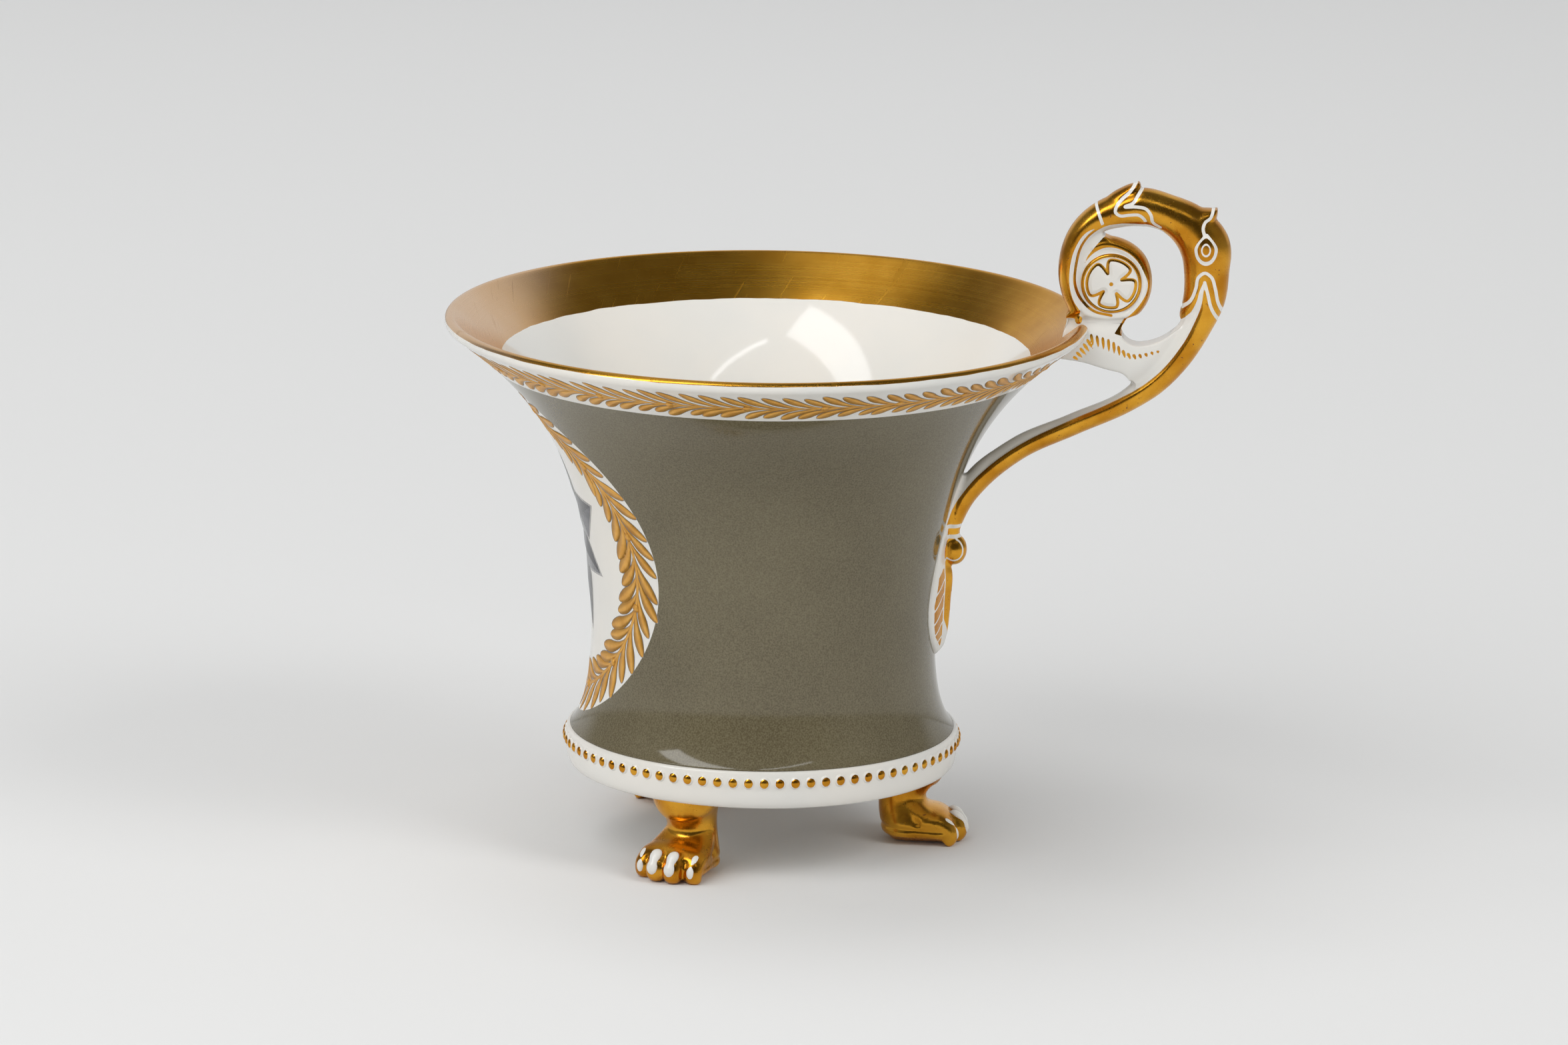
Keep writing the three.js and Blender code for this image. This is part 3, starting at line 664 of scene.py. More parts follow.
def slab(outline, width):                             # an outline in x, z with a thickness across y
    count = len(outline)
    points = [(x, side * width / 2, z) for side in (-1, 1) for x, z in outline]
    faces = [tuple(range(count)), tuple(range(2 * count - 1, count - 1, -1))]
    faces += [(i, i + count, (i + 1) % count + count, (i + 1) % count) for i in range(count)]
    return np.array(points), faces


def joined(forms):
    points, faces = [], []
    for spots, sides in forms:
        first = sum(len(part) for part in points)
        points.append(np.asarray(spots, float))
        faces += [tuple(first + i for i in face) for face in sides]
    return np.vstack(points), faces


def remeshed(name, forms, voxel, rounds):             # one skin round all the forms, with its points
    points, faces = joined(forms)
    mesh = meshOf(name, points, faces)
    skin = bmesh.new()
    skin.from_mesh(mesh)
    bmesh.ops.recalc_face_normals(skin, faces=skin.faces)
    skin.to_mesh(mesh)
    skin.free()
    holder = addPiece(name, mesh)
    remesh = holder.modifiers.new("skin", "REMESH")
    remesh.mode = "VOXEL"
    remesh.voxel_size = voxel * mm
    relax = holder.modifiers.new("relax", "SMOOTH")
    relax.factor = 0.5
    relax.iterations = rounds
    evaluated = holder.evaluated_get(bpy.context.evaluated_depsgraph_get())
    made = bpy.data.meshes.new_from_object(evaluated)
    bpy.data.objects.remove(holder)
    spots = np.zeros(len(made.vertices) * 3)
    made.vertices.foreach_get("co", spots)
    return made, spots.reshape(-1, 3) / mm


def normalsOf(mesh):
    normals = np.zeros(len(mesh.vertices) * 3)
    mesh.vertices.foreach_get("normal", normals)
    return normals.reshape(-1, 3)


def setPoints(mesh, points):
    mesh.vertices.foreach_set("co", (points * mm).ravel())
    mesh.update()


# Painted edges: how far points lie from a line or inside an outline, in the plane of the handle
def lineGap(line, x, z):
    line = np.asarray(line, float)
    best = np.full(len(x), np.inf)
    for (x0, z0), (x1, z1) in zip(line[:-1], line[1:]):
        dx, dz = x1 - x0, z1 - z0
        t = np.clip(((x - x0) * dx + (z - z0) * dz) / (dx * dx + dz * dz), 0, 1)
        best = np.minimum(best, np.hypot(x - x0 - t * dx, z - z0 - t * dz))
    return best


def insideGap(outline, x, z):                         # positive inside a closed outline
    outline = np.asarray(outline, float)
    closed = np.vstack([outline, outline[:1]])
    within = np.zeros(len(x), bool)
    for (x0, z0), (x1, z1) in zip(closed[:-1], closed[1:]):
        crosses = (z0 > z) != (z1 > z)
        if z0 != z1:
            within ^= crosses & (x < (x1 - x0) * (z - z0) / (z1 - z0) + x0)
    gap = lineGap(closed, x, z)
    return np.where(within, gap, -gap)


def smoothLine(points, steps=40):
    return throughSpots(points, steps)


# Handle: stations are x from the bowl's axis, z from the rim, thickness in this plane and width across it
handle = {
    "stem": [(28.4, -34, 2.0, 3.0), (28.4, -32.2, 2.2, 3.3), (28.95, -29.7, 2.9, 4.0),
             (30.0, -27.0, 3.6, 4.6), (31.9, -24.4, 3.9, 4.8), (37.8, -19.4, 3.9, 4.9),
             (46.2, -15.3, 3.8, 4.9), (54.1, -11.5, 3.9, 5.0), (57.8, -8.7, 4.5, 5.2),
             (61.0, -4.9, 5.1, 5.5), (64.0, 0.3, 5.5, 5.8), (65.3, 4.0, 6.3, 6.2), (65.6, 8.2, 6.8, 6.6),
             (65.2, 12.2, 7.6, 7.2), (62.9, 15.1, 6.7, 7.0), (59.5, 17.0, 5.6, 6.6), (55.6, 17.8, 5.8, 6.6),
             (52.4, 17.2, 5.2, 6.2), (49.4, 16.0, 4.4, 5.9), (46.9, 13.9, 3.6, 5.7), (45.5, 11.0, 3.3, 5.6),
             (45.1, 7.6, 3.2, 5.6), (45.5, 4.8, 3.0, 5.6), (46.6, 2.2, 2.8, 5.4)],
    "volute": [(46.9, 2.6, 2.4, 4.6), (48.6, 1.3, 2.3, 4.7), (51.4, 0.9, 2.3, 4.7), (54.2, 1.8, 2.3, 4.7),
               (56.0, 4.2, 2.3, 4.6), (56.4, 7.0, 2.2, 4.5), (55.4, 9.9, 2.2, 4.4), (53.0, 11.7, 2.2, 4.3),
               (50.2, 12.2, 2.0, 4.2), (48.6, 11.6, 1.6, 4.0)],
    "snout": [(50.6, 16.8, 3.4, 4.8), (52.4, 18.65, 3.3, 4.6), (53.7, 19.85, 2.5, 3.9),
              (54.8, 20.8, 1.6, 3.2), (55.35, 21.5, 0.6, 2.2)],
    "crown": [(61.6, 14.2, 7.4, 6.8), (63.6, 15.3, 6.0, 6.4), (65.3, 16.4, 3.6, 5.2), (66.5, 17.3, 1.5, 3.8),
              (67.0, 17.8, 0.3, 2.6)],
    "steps": {"stem": 240, "volute": 90, "snout": 24, "crown": 30, "bridgeLow": 24, "bridgeHigh": 36,
              "web": 48},
    "web": (51.5, 6.5, 5.76), "webWidth": 3.6,
    "bridgeLow": [(44.0, -5.3), (46.0, -5.5), (48.0, -5.85), (50.0, -6.45), (52.0, -6.95), (53.2, -7.25),
                  (53.9, -7.8), (54.2, -8.6)],
    "bridgeInside": [(56.5, -9.4), (60.8, -5.0), (63.6, -0.6), (64.2, 2.2)],
    "bridgeHigh": [(62.5, 2.4), (62.2, 1.5), (61.6, 0.4), (60.7, -0.8), (59.6, -1.75), (58.2, -2.5),
                   (56.6, -2.95), (55.2, -3.0), (54.0, -2.5), (53.3, -1.7), (53.2, -0.8), (53.7, 0.0),
                   (54.6, 1.2)],
    "bridgeEnd": [(52.0, 3.4), (46.5, 3.0), (44.6, 1.2)], "bridgeWidth": 4.2,
    "fill": [(45.2, 2.5), (47.5, 1.2), (50, 5), (51.5, 13.0), (50.2, 13.5), (49.6, 14.6), (47.2, 13.8),
             (45.6, 10)],
    "fillWidth": 3.4, "voxel": 0.2, "smoothing": 8,
    # Rounded forms: x, z and half sizes in depth, across and in height
    "collar": (28.2, -33.0, 1.3, 1.56, 1.6), "ball": (28.65, -35.3, 1.95, 2.05, 2.4),
    "eye": (65.5, 12.2, 1.5, 0.7, 2.1), "eyeSpread": 3.2, "bead": (46.7, 0.7, 0.62), "beadSide": 2.1}
# Where one piece of the handle ends and the next begins
joints = {"mouth": 52.4, "underMouth": 13.9, "neck": 2.4, "beside": 58.6, "scrollLow": 0.3,
          "collarTop": -31.0, "leafTop": -37.6, "stemFrom": (53.6, -9.0), "stemTo": (61.6, 0.3),
          "bridgeFrom": 42, "bridgeLow": -10, "footReach": 33, "snap": 0.04}
# The groove between gilding and white: how far it reaches to either side, and where it fades
groove = {"depth": 0.6, "shift": 0.3, "reach": (1.5, 0.55), "slant": 0.4, "from": 38, "over": 4, "top": 5.5,
          "topOver": 3, "lineDepth": 0.06, "lineReach": 0.25}
# The leaf and the white strip above it that joins the stem to the wall: z, half width and relief
leaf = {"stations": [(-23.6, 1.6, 0.3), (-25, 2.2, 1.0), (-28, 2.6, 1.3), (-31, 3.0, 1.3), (-34, 3.9, 1.2),
                     (-37, 5.0, 1.5), (-39, 5.6, 2.2), (-43, 6.3, 2.3), (-46, 5.9, 2.2), (-48.5, 4.5, 1.9),
                     (-50.5, 2.4, 1.2), (-51.6, 0.6, 0.2)],
        "shoulder": 1.1, "ridge": 0.45, "sunk": 0.9, "spans": 60, "sides": 32}

# Paint on the handle, in the same plane; lines and strokes are given by half their width
paint = {
    "spineEdge": [(65.3, 6.1), (64.9, 3.4), (64.0, 1.0), (63.0, -1.2), (61.5, -3.6), (60, -5.6), (58, -7.6),
                  (55.4, -9.5), (52.85, -10.85), (49.8, -12.45), (46.8, -13.85), (43.75, -15.35),
                  (39.7, -17.5), (36.6, -19.5), (33.45, -22.05), (31.3, -24.25), (29.15, -27.3),
                  (27.65, -31.55)],
    "whiteCorners": [(24, -31.8), (24, 1.0), (58, 1.0)],
    "flankEdge": [(61.6, 1.2), (63.2, 2.5), (64.2, 4.2), (64.7, 5.9), (65.3, 7.4)],
    "neckLines": [[(62.0, 3.0), (63.3, 4.2), (64.1, 6.2), (64.5, 8.0), (65.4, 8.65), (66.3, 8.1), (67.0, 6.2),
                   (67.4, 4.2), (68.3, 2.0)],
                  [(65.4, 7.2), (65.9, 5.4), (66.4, 3.4), (67.6, 1.0)]],
    "faceLines": [[(48.8, 18.7), (49.5, 17.0), (50.1, 15.4)],
                  [(55.0, 21.9), (54.0, 20.4), (52.7, 19.2), (52.0, 18.2), (51.9, 17.5), (52.5, 17.0),
                   (54.0, 17.1), (55.5, 17.1), (56.2, 16.5), (56.5, 15.8)],
                  [(56.1, 21.2), (55.1, 19.8), (54.5, 18.9), (53.3, 18.35), (55.0, 18.4), (56.5, 18.1),
                   (57.2, 17.2), (57.5, 16.0), (58.6, 15.2)],
                  [(65.2, 14.4), (65.0, 15.4), (65.3, 16.2), (66.0, 16.7), (66.5, 18.2)]],
    "bandEdge": [(50.2, 15.3), (47.6, 14.2), (46.0, 11.7), (45.3, 8.7), (45.3, 6.2), (46.0, 3.7),
                 (47.0, 2.2)],
    "scrollCorners": [(46.4, 0.2), (59, 0.2), (60.5, 6), (60.5, 12.6), (59, 14.6), (57, 15.6), (53, 15.7)],
    "spiral": [(57.2, 15.75), (54.0, 15.95), (51.0, 15.6), (48.5, 14.2), (47.0, 12.2), (46.2, 9.2),
               (46.1, 6.2), (47.0, 4.0), (49.0, 2.2), (51.6, 1.6)],
    "coilEdge": [(47.2, 8.8), (47.8, 9.9), (49.1, 11.2), (50.7, 11.9), (52.3, 11.8), (53.9, 11.15),
                 (55.5, 9.7), (56.4, 8.1), (56.9, 6.8), (56.8, 5.3), (56.0, 3.7), (55.0, 2.4), (53.9, 1.3),
                 (52.9, 0.1), (52.1, -1.2)],
    "coilOutside": [(53.6, -1.6), (54.6, 0.4), (58.5, 4), (58.5, 11), (54, 13.9), (50.2, 13.4), (49.0, 12.0),
                    (47.9, 10.5)],
    "strokeTops": [(48.6, -1.3), (51.5, -2.1), (54.3, -4.1), (58.6, -3.6)],
    "strokeFeet": [(49.0, -3.1), (52.2, -4.3), (54.9, -5.1), (58.7, -4.0)],
    "fanTops": [(48.0, -2.1), (47.0, -3.4), (46.0, -4.8)],
    "fanFeet": [(48.9, -3.5), (47.9, -4.6), (46.8, -5.3)],
    "steps": {"spineEdge": 90, "spiral": 80, "coilEdge": 60, "flankEdge": 40, "bandEdge": 40},
    "line": 0.24, "fine": 0.2, "stroke": 0.17, "strokeEnds": 0.3, "strokeSwell": 2.7, "strokes": 13,
    "fanStrokes": 5, "eyeRings": [(1.0, 0.24), (0.42, 0.12)], "eyeTaper": 0.5, "eyePower": 1.5,
    "eyeSpan": 1.6, "beadMargin": 0.15, "stemEnd": -31.15}
# Paint below the stem; seam and outline are distances below the rim with half widths
leafPaint = {"collar": (-32.25, 0.5, 2.1), "top": -33.35, "ballReach": 1.2, "ribEnd": -48.6, "ribTaper": 2,
             "seam": [(33.3, 1.3), (36, 1.45), (38.5, 1.9), (46, 1.5), (51, 1.0)], "gap": 0.11, "margin": 0.2,
             "outline": [(37.6, 2.6), (38.6, 4.4), (43, 5.5), (46, 5.1), (48, 4.1), (50.6, 0.6)],
             "lobeTop": -37.85, "firstVein": -39.4, "period": 2.25, "slope": 0.6, "vein": 0.17}


def leafForm():
    spans, sides = leaf["spans"], leaf["sides"]
    top, bottom = [], []
    for z, half, high in throughSpots(leaf["stations"], spans + 1):
        radius = np.interp(rimZ + z, outer[:, 1], outer[:, 0])
        for j in range(sides + 1):
            y = half * (2 * j / sides - 1)
            ridge = math.exp(-(y / leaf["shoulder"]) ** 2)
            spread = math.sqrt(max(0, 1 - (y / half) ** 2))
            rise = high * (leaf["ridge"] * ridge + (1 - leaf["ridge"]) * spread)
            for rows, reach in ((top, radius + rise), (bottom, radius - leaf["sunk"])):
                rows.append((reach * math.cos(y / radius), reach * math.sin(y / radius), z))
    row, count = sides + 1, len(top)
    faces = []
    for i in range(spans):
        for j in range(sides):
            a = i * row + j
            faces.append((a, a + row, a + row + 1, a + 1))
            faces.append((count + a, count + a + 1, count + a + row + 1, count + a + row))
        for a in (i * row, i * row + sides):
            faces.append((a, a + row, count + a + row, count + a))
    for first in (0, spans * row):
        for j in range(sides):
            faces.append((first + j, first + j + 1, count + first + j + 1, count + first + j))
    return np.array(top + bottom), faces


def strokeLines(tops, feet, count):
    return list(zip(throughSpots(tops, count), throughSpots(feet, count)))


def brushMark(stroke, x, z):                          # a short mark, thin at its ends
    (x0, z0), (x1, z1) = stroke
    dx, dz = x1 - x0, z1 - z0
    t = np.clip(((x - x0) * dx + (z - z0) * dz) / (dx * dx + dz * dz), 0, 1)
    half = paint["stroke"] * (paint["strokeEnds"] + paint["strokeSwell"] * np.sqrt(t) * (1 - t))
    return half - np.hypot(x - x0 - t * dx, z - z0 - t * dz)


def paintLine(label):
    return smoothLine(paint[label], paint["steps"][label])


def whiteFlank(x, z):                                 # above zero on the white side of the stem
    outline = np.vstack([paintLine("spineEdge"), paint["whiteCorners"], paintLine("flankEdge")])
    return insideGap(outline, x, z)


def eyeLines(x, z):                                   # below zero on the two drop-shaped rings of the eye
    eyeX, eyeZ, deep, _, tall = handle["eye"]
    rising = np.clip((z - eyeZ) / tall, 0, 1)
    narrow = deep * (1 - paint["eyeTaper"] * rising ** paint["eyePower"])
    away = np.hypot((x - eyeX) / narrow, (z - eyeZ) / tall)
    rings = [abs(away - ring) * paint["eyeSpan"] - half for ring, half in paint["eyeRings"]]
    return np.minimum(*rings)


def handleGold(x, y, z):                              # above zero where the handle is gilded
    scroll = insideGap(np.vstack([paintLine("bandEdge"), paint["scrollCorners"]]), x, z)
    gold = -np.maximum(whiteFlank(x, z), scroll)
    for line in paint["neckLines"] + paint["faceLines"]:
        gold = np.minimum(gold, lineGap(smoothLine(line), x, z) - paint["line"])
    gold = np.minimum(gold, eyeLines(x, z))
    gold = np.maximum(gold, paint["fine"] - lineGap(paintLine("spiral"), x, z))
    coil = np.vstack([paintLine("coilEdge"), paint["coilOutside"]])
    gold = np.maximum(gold, insideGap(coil, x, z))
    strokes = strokeLines(paint["strokeTops"], paint["strokeFeet"], paint["strokes"])
    strokes += strokeLines(paint["fanTops"], paint["fanFeet"], paint["fanStrokes"])
    for stroke in strokes:
        gold = np.maximum(gold, brushMark(stroke, x, z))
    beadX, beadZ, radius = handle["bead"]
    gold = np.maximum(gold, radius + paint["beadMargin"] - np.hypot(x - beadX, z - beadZ))
    gold = np.minimum(gold, z - paint["stemEnd"])
    return np.maximum(gold, footGold(x, y, z))


def footGold(x, y, z):                                # the collar, the ball and the leaf below it
    side = abs(y)
    sizes = leafPaint
    collarZ, collarHalf, collarWide = sizes["collar"]
    collar = np.minimum(collarHalf - abs(z - collarZ), collarWide - side)
    ballX, ballZ, deep, wide, tall = handle["ball"]
    away = np.sqrt(((x - ballX) / deep) ** 2 + (y / wide) ** 2 + ((z - ballZ) / tall) ** 2)
    under = sizes["top"] - z
    ball = np.minimum((sizes["ballReach"] - away) * wide, under)
    seam = np.interp(-z, *np.array(sizes["seam"]).T)
    rib = np.minimum(np.minimum(seam, (z - sizes["ribEnd"]) / sizes["ribTaper"]) - side, under)
    gap = np.maximum(abs(side - seam) - sizes["gap"], -under)
    outline = np.interp(-z, *np.array(sizes["outline"]).T)
    lobe = np.minimum(np.minimum(side - seam - sizes["margin"], outline - side), sizes["lobeTop"] - z)
    period = sizes["period"]
    along = z - sizes["firstVein"] + (side - seam) * sizes["slope"]
    veins = abs((along + period / 2) % period - period / 2) - sizes["vein"]
    upper = np.minimum(np.maximum(ball, rib), gap)
    return np.maximum(np.maximum(collar, upper), np.minimum(lobe, veins))


def bridgeOutline():
    steps = handle["steps"]
    return np.vstack([smoothLine(handle["bridgeLow"], steps["bridgeLow"]), handle["bridgeInside"],
                      smoothLine(handle["bridgeHigh"], steps["bridgeHigh"]), handle["bridgeEnd"]])


def webOutline():                                     # the disc that fills the volute
    x, z, radius = handle["web"]
    turns = np.arange(handle["steps"]["web"]) * 2 * math.pi / handle["steps"]["web"]
    return [(x + radius * math.cos(turn), z + radius * math.sin(turn)) for turn in turns]


def roundForm(label, side=0.0):
    x, z, *halves = handle[label]
    return oval((x, side, z), halves if len(halves) > 1 else halves * 3)


def handleForms():
    def swept(label):
        return sweep(handle[label], handle["steps"][label])

    forms = [swept("stem"), swept("volute"), slab(webOutline(), handle["webWidth"]),
             slab(bridgeOutline(), handle["bridgeWidth"]), leafForm(), roundForm("collar"), roundForm("ball"),
             swept("snout"), swept("crown"), slab(handle["fill"], handle["fillWidth"])]
    for side in (-1, 1):
        forms.append(roundForm("eye", side * handle["eyeSpread"]))
        forms.append(roundForm("bead", side * handle["beadSide"]))
    return forms


def shareOut(x, z):                                   # the piece that each face of the handle belongs to
    (x0, z0), (x1, z1) = joints["stemFrom"], joints["stemTo"]
    aboveStem = (z - z0) * (x1 - x0) > (x - x0) * (z1 - z0)
    face = (z > joints["underMouth"]) & (x > joints["mouth"])
    head = face | ((z > joints["neck"]) & (x > joints["beside"]))
    scroll = ~head & (z > joints["scrollLow"]) & (x < joints["beside"])
    nearRim = (x > joints["bridgeFrom"]) & (z > joints["bridgeLow"]) & (z < joints["scrollLow"])
    names = np.full(len(x), "handle_stem", object)
    names[head] = "beast_head"
    names[scroll] = "handle_scroll"
    names[~head & ~scroll & aboveStem & nearRim] = "rim_bridge"
    low = (x < joints["footReach"]) & (z < joints["collarTop"])
    names[low] = "knop"
    names[low & (z < joints["leafTop"])] = "leaf_terminal"
    return names


def cutAlongJoints(mesh):                             # gives the mesh an edge along every joint
    (x0, z0), (x1, z1) = joints["stemFrom"], joints["stemTo"]
    planes = [((joints["mouth"], 0), (1, 0)), ((x0, z0), (z0 - z1, x1 - x0))]
    planes += [((0, joints[label]), (0, 1)) for label in ("neck", "scrollLow", "collarTop", "leafTop")]
    cut = bmesh.new()
    cut.from_mesh(mesh)
    for (x, z), (nx, nz) in planes:
        bmesh.ops.bisect_plane(cut, geom=cut.verts[:] + cut.edges[:] + cut.faces[:], dist=joints["snap"] * mm,
                               plane_co=((axisX + x) * mm, 0, (rimZ + z) * mm), plane_no=(nx, 0, nz))
    cut.to_mesh(mesh)
    cut.free()


def cutOut(whole, keep, name):                        # the marked faces as a closed mesh of their own
    part = bmesh.new()
    part.from_mesh(whole)
    part.faces.ensure_lookup_table()
    bmesh.ops.delete(part, geom=[face for face, kept in zip(part.faces, keep) if not kept], context="FACES")
    rim = [edge for edge in part.edges if edge.is_boundary]
    for edge in rim:
        edge.smooth = False
    bmesh.ops.holes_fill(part, edges=rim, sides=0)
    mesh = bpy.data.meshes.new(name)
    part.to_mesh(mesh)
    part.free()
    return mesh


def makeHandle():
    whole, points = remeshed("handle", handleForms(), handle["voxel"], handle["smoothing"])
    x, y, z = points.T
    # The edge between gilding and white lies in a groove, and painted lines are a little sunk
    beside = whiteFlank(x, z) - groove["shift"]
    reach = np.where(beside > 0, *groove["reach"])
    fade = np.clip((x - groove["slant"] * z - groove["from"]) / groove["over"], 0, 1)
    fade = fade * np.clip((groove["top"] - z) / groove["topOver"], 0, 1)
    sunk = groove["depth"] * np.exp(-(beside / reach) ** 2) * fade
    for line in paint["neckLines"] + paint["faceLines"]:
        sunk += groove["lineDepth"] * np.exp(-(lineGap(smoothLine(line), x, z) / groove["lineReach"]) ** 2)
    points = points - normalsOf(whole) * sunk[:, None]
    addField(whole, "gold", handleGold(x, y, z))
    points[:, 0] += axisX
    points[:, 2] += rimZ
    setPoints(whole, points)
    cutAlongJoints(whole)
    whole.polygons.foreach_set("use_smooth", [True] * len(whole.polygons))
    centres = np.zeros(len(whole.polygons) * 3)
    whole.polygons.foreach_get("center", centres)
    centres = centres.reshape(-1, 3) / mm
    owners = shareOut(centres[:, 0] - axisX, centres[:, 2] - rimZ)
    for node in ("handle_stem", "beast_head", "handle_scroll", "rim_bridge", "knop", "leaf_terminal"):
        piece = addPiece("cup_" + node, cutOut(whole, owners == node, node), paintedPorcelain)
        finishPiece(piece, "white_glaze" if node == "rim_bridge" else "gilding", node)
        print(node, len(piece.data.polygons), "faces")


makeHandle()


# Rosettes: a low round boss with a gilded ring and a four-lobed outline, one on each face of the volute
rosette = {"centre": (51.5, 6.45), "radius": 4.75, "seat": 1.5, "rise": 0.75, "edgePower": 8, "ring": 4.3,
           "ringLine": 0.26, "ringRise": 0.35, "ringWidth": 0.35, "lobe": 3.65, "line": 0.23, "lobeRise": 0.3,
           "lobeSlope": 0.7, "dot": 0.3, "notches": (110, 23, -61, -134), "notchDepth": 2.0,
           "notchWidth": 0.15, "outlineSteps": 360, "rings": 46, "steps": 160}


def lobedOutline():
    bends = np.linspace(0, 2 * math.pi, rosette["outlineSteps"] + 1)
    dip = 0
    for notch in rosette["notches"]:
        away = (bends - math.radians(notch) + math.pi) % (2 * math.pi) - math.pi
        dip = dip + np.exp(-(away / rosette["notchWidth"]) ** 2)
    lobes = rosette["lobe"] - rosette["notchDepth"] * dip
    return np.stack([lobes * np.cos(bends), lobes * np.sin(bends)], 1)[:-1]


def makeRosette(node, side):
    sizes = rosette
    steps, rings = sizes["steps"], sizes["rings"]
    radii = np.linspace(0, sizes["radius"], rings + 1)[1:]
    turns = np.arange(steps) * 2 * math.pi / steps
    r, a = [part.ravel() for part in np.meshgrid(radii, turns, indexing="ij")]
    r, a = np.append(r, 0), np.append(a, 0)
    u, v = r * np.cos(a), r * np.sin(a)
    inside = insideGap(lobedOutline(), u, v)
    fromRing = r - sizes["ring"]
    gold = np.maximum(sizes["line"] - abs(inside), sizes["ringLine"] - abs(fromRing))
    gold = np.maximum(gold, sizes["dot"] - r)
    rise = sizes["lobeRise"] * np.clip(inside / sizes["lobeSlope"], 0, 1)
    rise = rise + sizes["ringRise"] * np.exp(-(fromRing / sizes["ringWidth"]) ** 2)
    rounding = np.sqrt(np.clip(1 - (r / sizes["radius"]) ** sizes["edgePower"], 0, 1))
    height = sizes["seat"] + (sizes["rise"] + rise) * rounding
    points = np.stack([axisX + sizes["centre"][0] + u, side * height, rimZ + sizes["centre"][1] + v], 1)
    back = points[(rings - 1) * steps:rings * steps].copy()
    back[:, 1] = 0
    centreBack = points[-1] * (1, 0, 1)
    points = np.vstack([points, back, [centreBack]])
    hub, firstBack = rings * steps, rings * steps + 1
    low = (rings - 1) * steps
    faces = []
    for j in range(steps):
        k = (j + 1) % steps
        faces.append((hub, j, k))
        for i in range(0, low, steps):
            faces.append((i + j, i + steps + j, i + steps + k, i + k))
        faces.append((low + j, firstBack + j, firstBack + k, low + k))
        faces.append((firstBack + j, firstBack + steps, firstBack + k))
    if side > 0:                                      # the far one is a mirror image
        faces = [face[::-1] for face in faces]
    mesh = meshOf(node, points, faces)
    addField(mesh, "gold", np.concatenate([gold, np.full(steps + 1, -1.0)]))
    finishPiece(addPiece("cup_" + node, mesh, paintedPorcelain), "white_glaze", node)


makeRosette("rosette_near", -1)
makeRosette("rosette_far", 1)
print("rosettes ready")


# Base: a turned plinth with a shallow recess underneath
base = {"recessRadius": 14.0, "recessDepth": 2.4, "recessFlat": 2.2, "recessEase": 0.5, "recessDrop": 0.9,
        "recessLip": 0.5, "underRadius": 28.5, "underRun": 0.9, "underRise": 0.25, "beadRadius": 29.55,
        "beadLow": 15.3, "swellDrop": 1.6, "beadHigh": 17.3, "collarDrop": 0.25, "collarRun": 0.35,
        "shoulder": 29.0, "steps": 240, "curveSteps": {"recess": 10, "swell": 16, "collar": 8}}


def makeBase():
    low = baseLow.z / mm
    top = baseHigh.z / mm
    bead, shoulder, recess = base["beadRadius"], base["shoulder"], base["recessRadius"]
    hollow = low + base["recessDepth"]
    steps = base["curveSteps"]
    under = bezier((recess - base["recessFlat"], hollow), (recess - base["recessEase"], hollow),
                   (recess, low + base["recessDrop"]), (recess + base["recessLip"], low), steps["recess"])
    swell = bezier((base["underRadius"], low),
                   (base["underRadius"] + base["underRun"], low + base["underRise"]),
                   (bead, base["beadLow"] - base["swellDrop"]), (bead, base["beadLow"]), steps["swell"])
    collar = bezier((bead, base["beadHigh"]), (bead, top - base["collarDrop"]),
                    (shoulder + base["collarRun"], top), (shoulder, top), steps["collar"])
    inner = [(0, hollow), (recess / 2, hollow)]
    profile = np.vstack([inner, under, swell, collar, [(shoulder / 2, top), (0, top)]])
    points, faces = turned(profile, base["steps"], axisX)
    finishPiece(addPiece("cup_base", meshOf("base", points, faces), whiteGlaze), "white_glaze", "base")


makeBase()


# Bead row: white bumps round the base, each with a gilded dot
beads = {"count": 80, "radius": 29.45, "height": 16.3, "halfWide": 1.02, "halfTall": 1.1, "relief": 0.5,
         "dot": 0.64, "dotRise": 0.16, "tuck": 0.25, "tuckPower": 4, "sunk": 0.3, "rings": 9, "steps": 22}


def beadMesh():
    sizes = beads
    steps, rings = sizes["steps"], sizes["rings"]
    points, gold = [(0, 0, sizes["relief"] + sizes["dotRise"])], [sizes["dot"]]
    for i in range(1, rings + 1):
        share = i / rings
        height = sizes["relief"] * math.sqrt(1 - share ** 2) - sizes["tuck"] * share ** sizes["tuckPower"]
        height += sizes["dotRise"] * math.sqrt(max(0.0, 1 - (share / sizes["dot"]) ** 2))
        wide, tall = share * sizes["halfWide"], share * sizes["halfTall"]
        for turn in np.arange(steps) * 2 * math.pi / steps:
            points.append((wide * math.cos(turn), tall * math.sin(turn), height))
            gold.append(sizes["dot"] - share)
    points.append((0, 0, -sizes["sunk"]))
    gold.append(-1.0)
    faces = []
    for j in range(steps):
        k = (j + 1) % steps
        faces.append((0, 1 + j, 1 + k))
        for i in range(rings - 1):
            a, b = 1 + i * steps, 1 + (i + 1) * steps
            faces.append((a + j, b + j, b + k, a + k))
        a = 1 + (rings - 1) * steps
        faces.append((a + j, len(points) - 1, a + k))
    mesh = meshOf("bead", points, faces)
    addField(mesh, "gold", gold)
    return helperObject("bead", mesh)


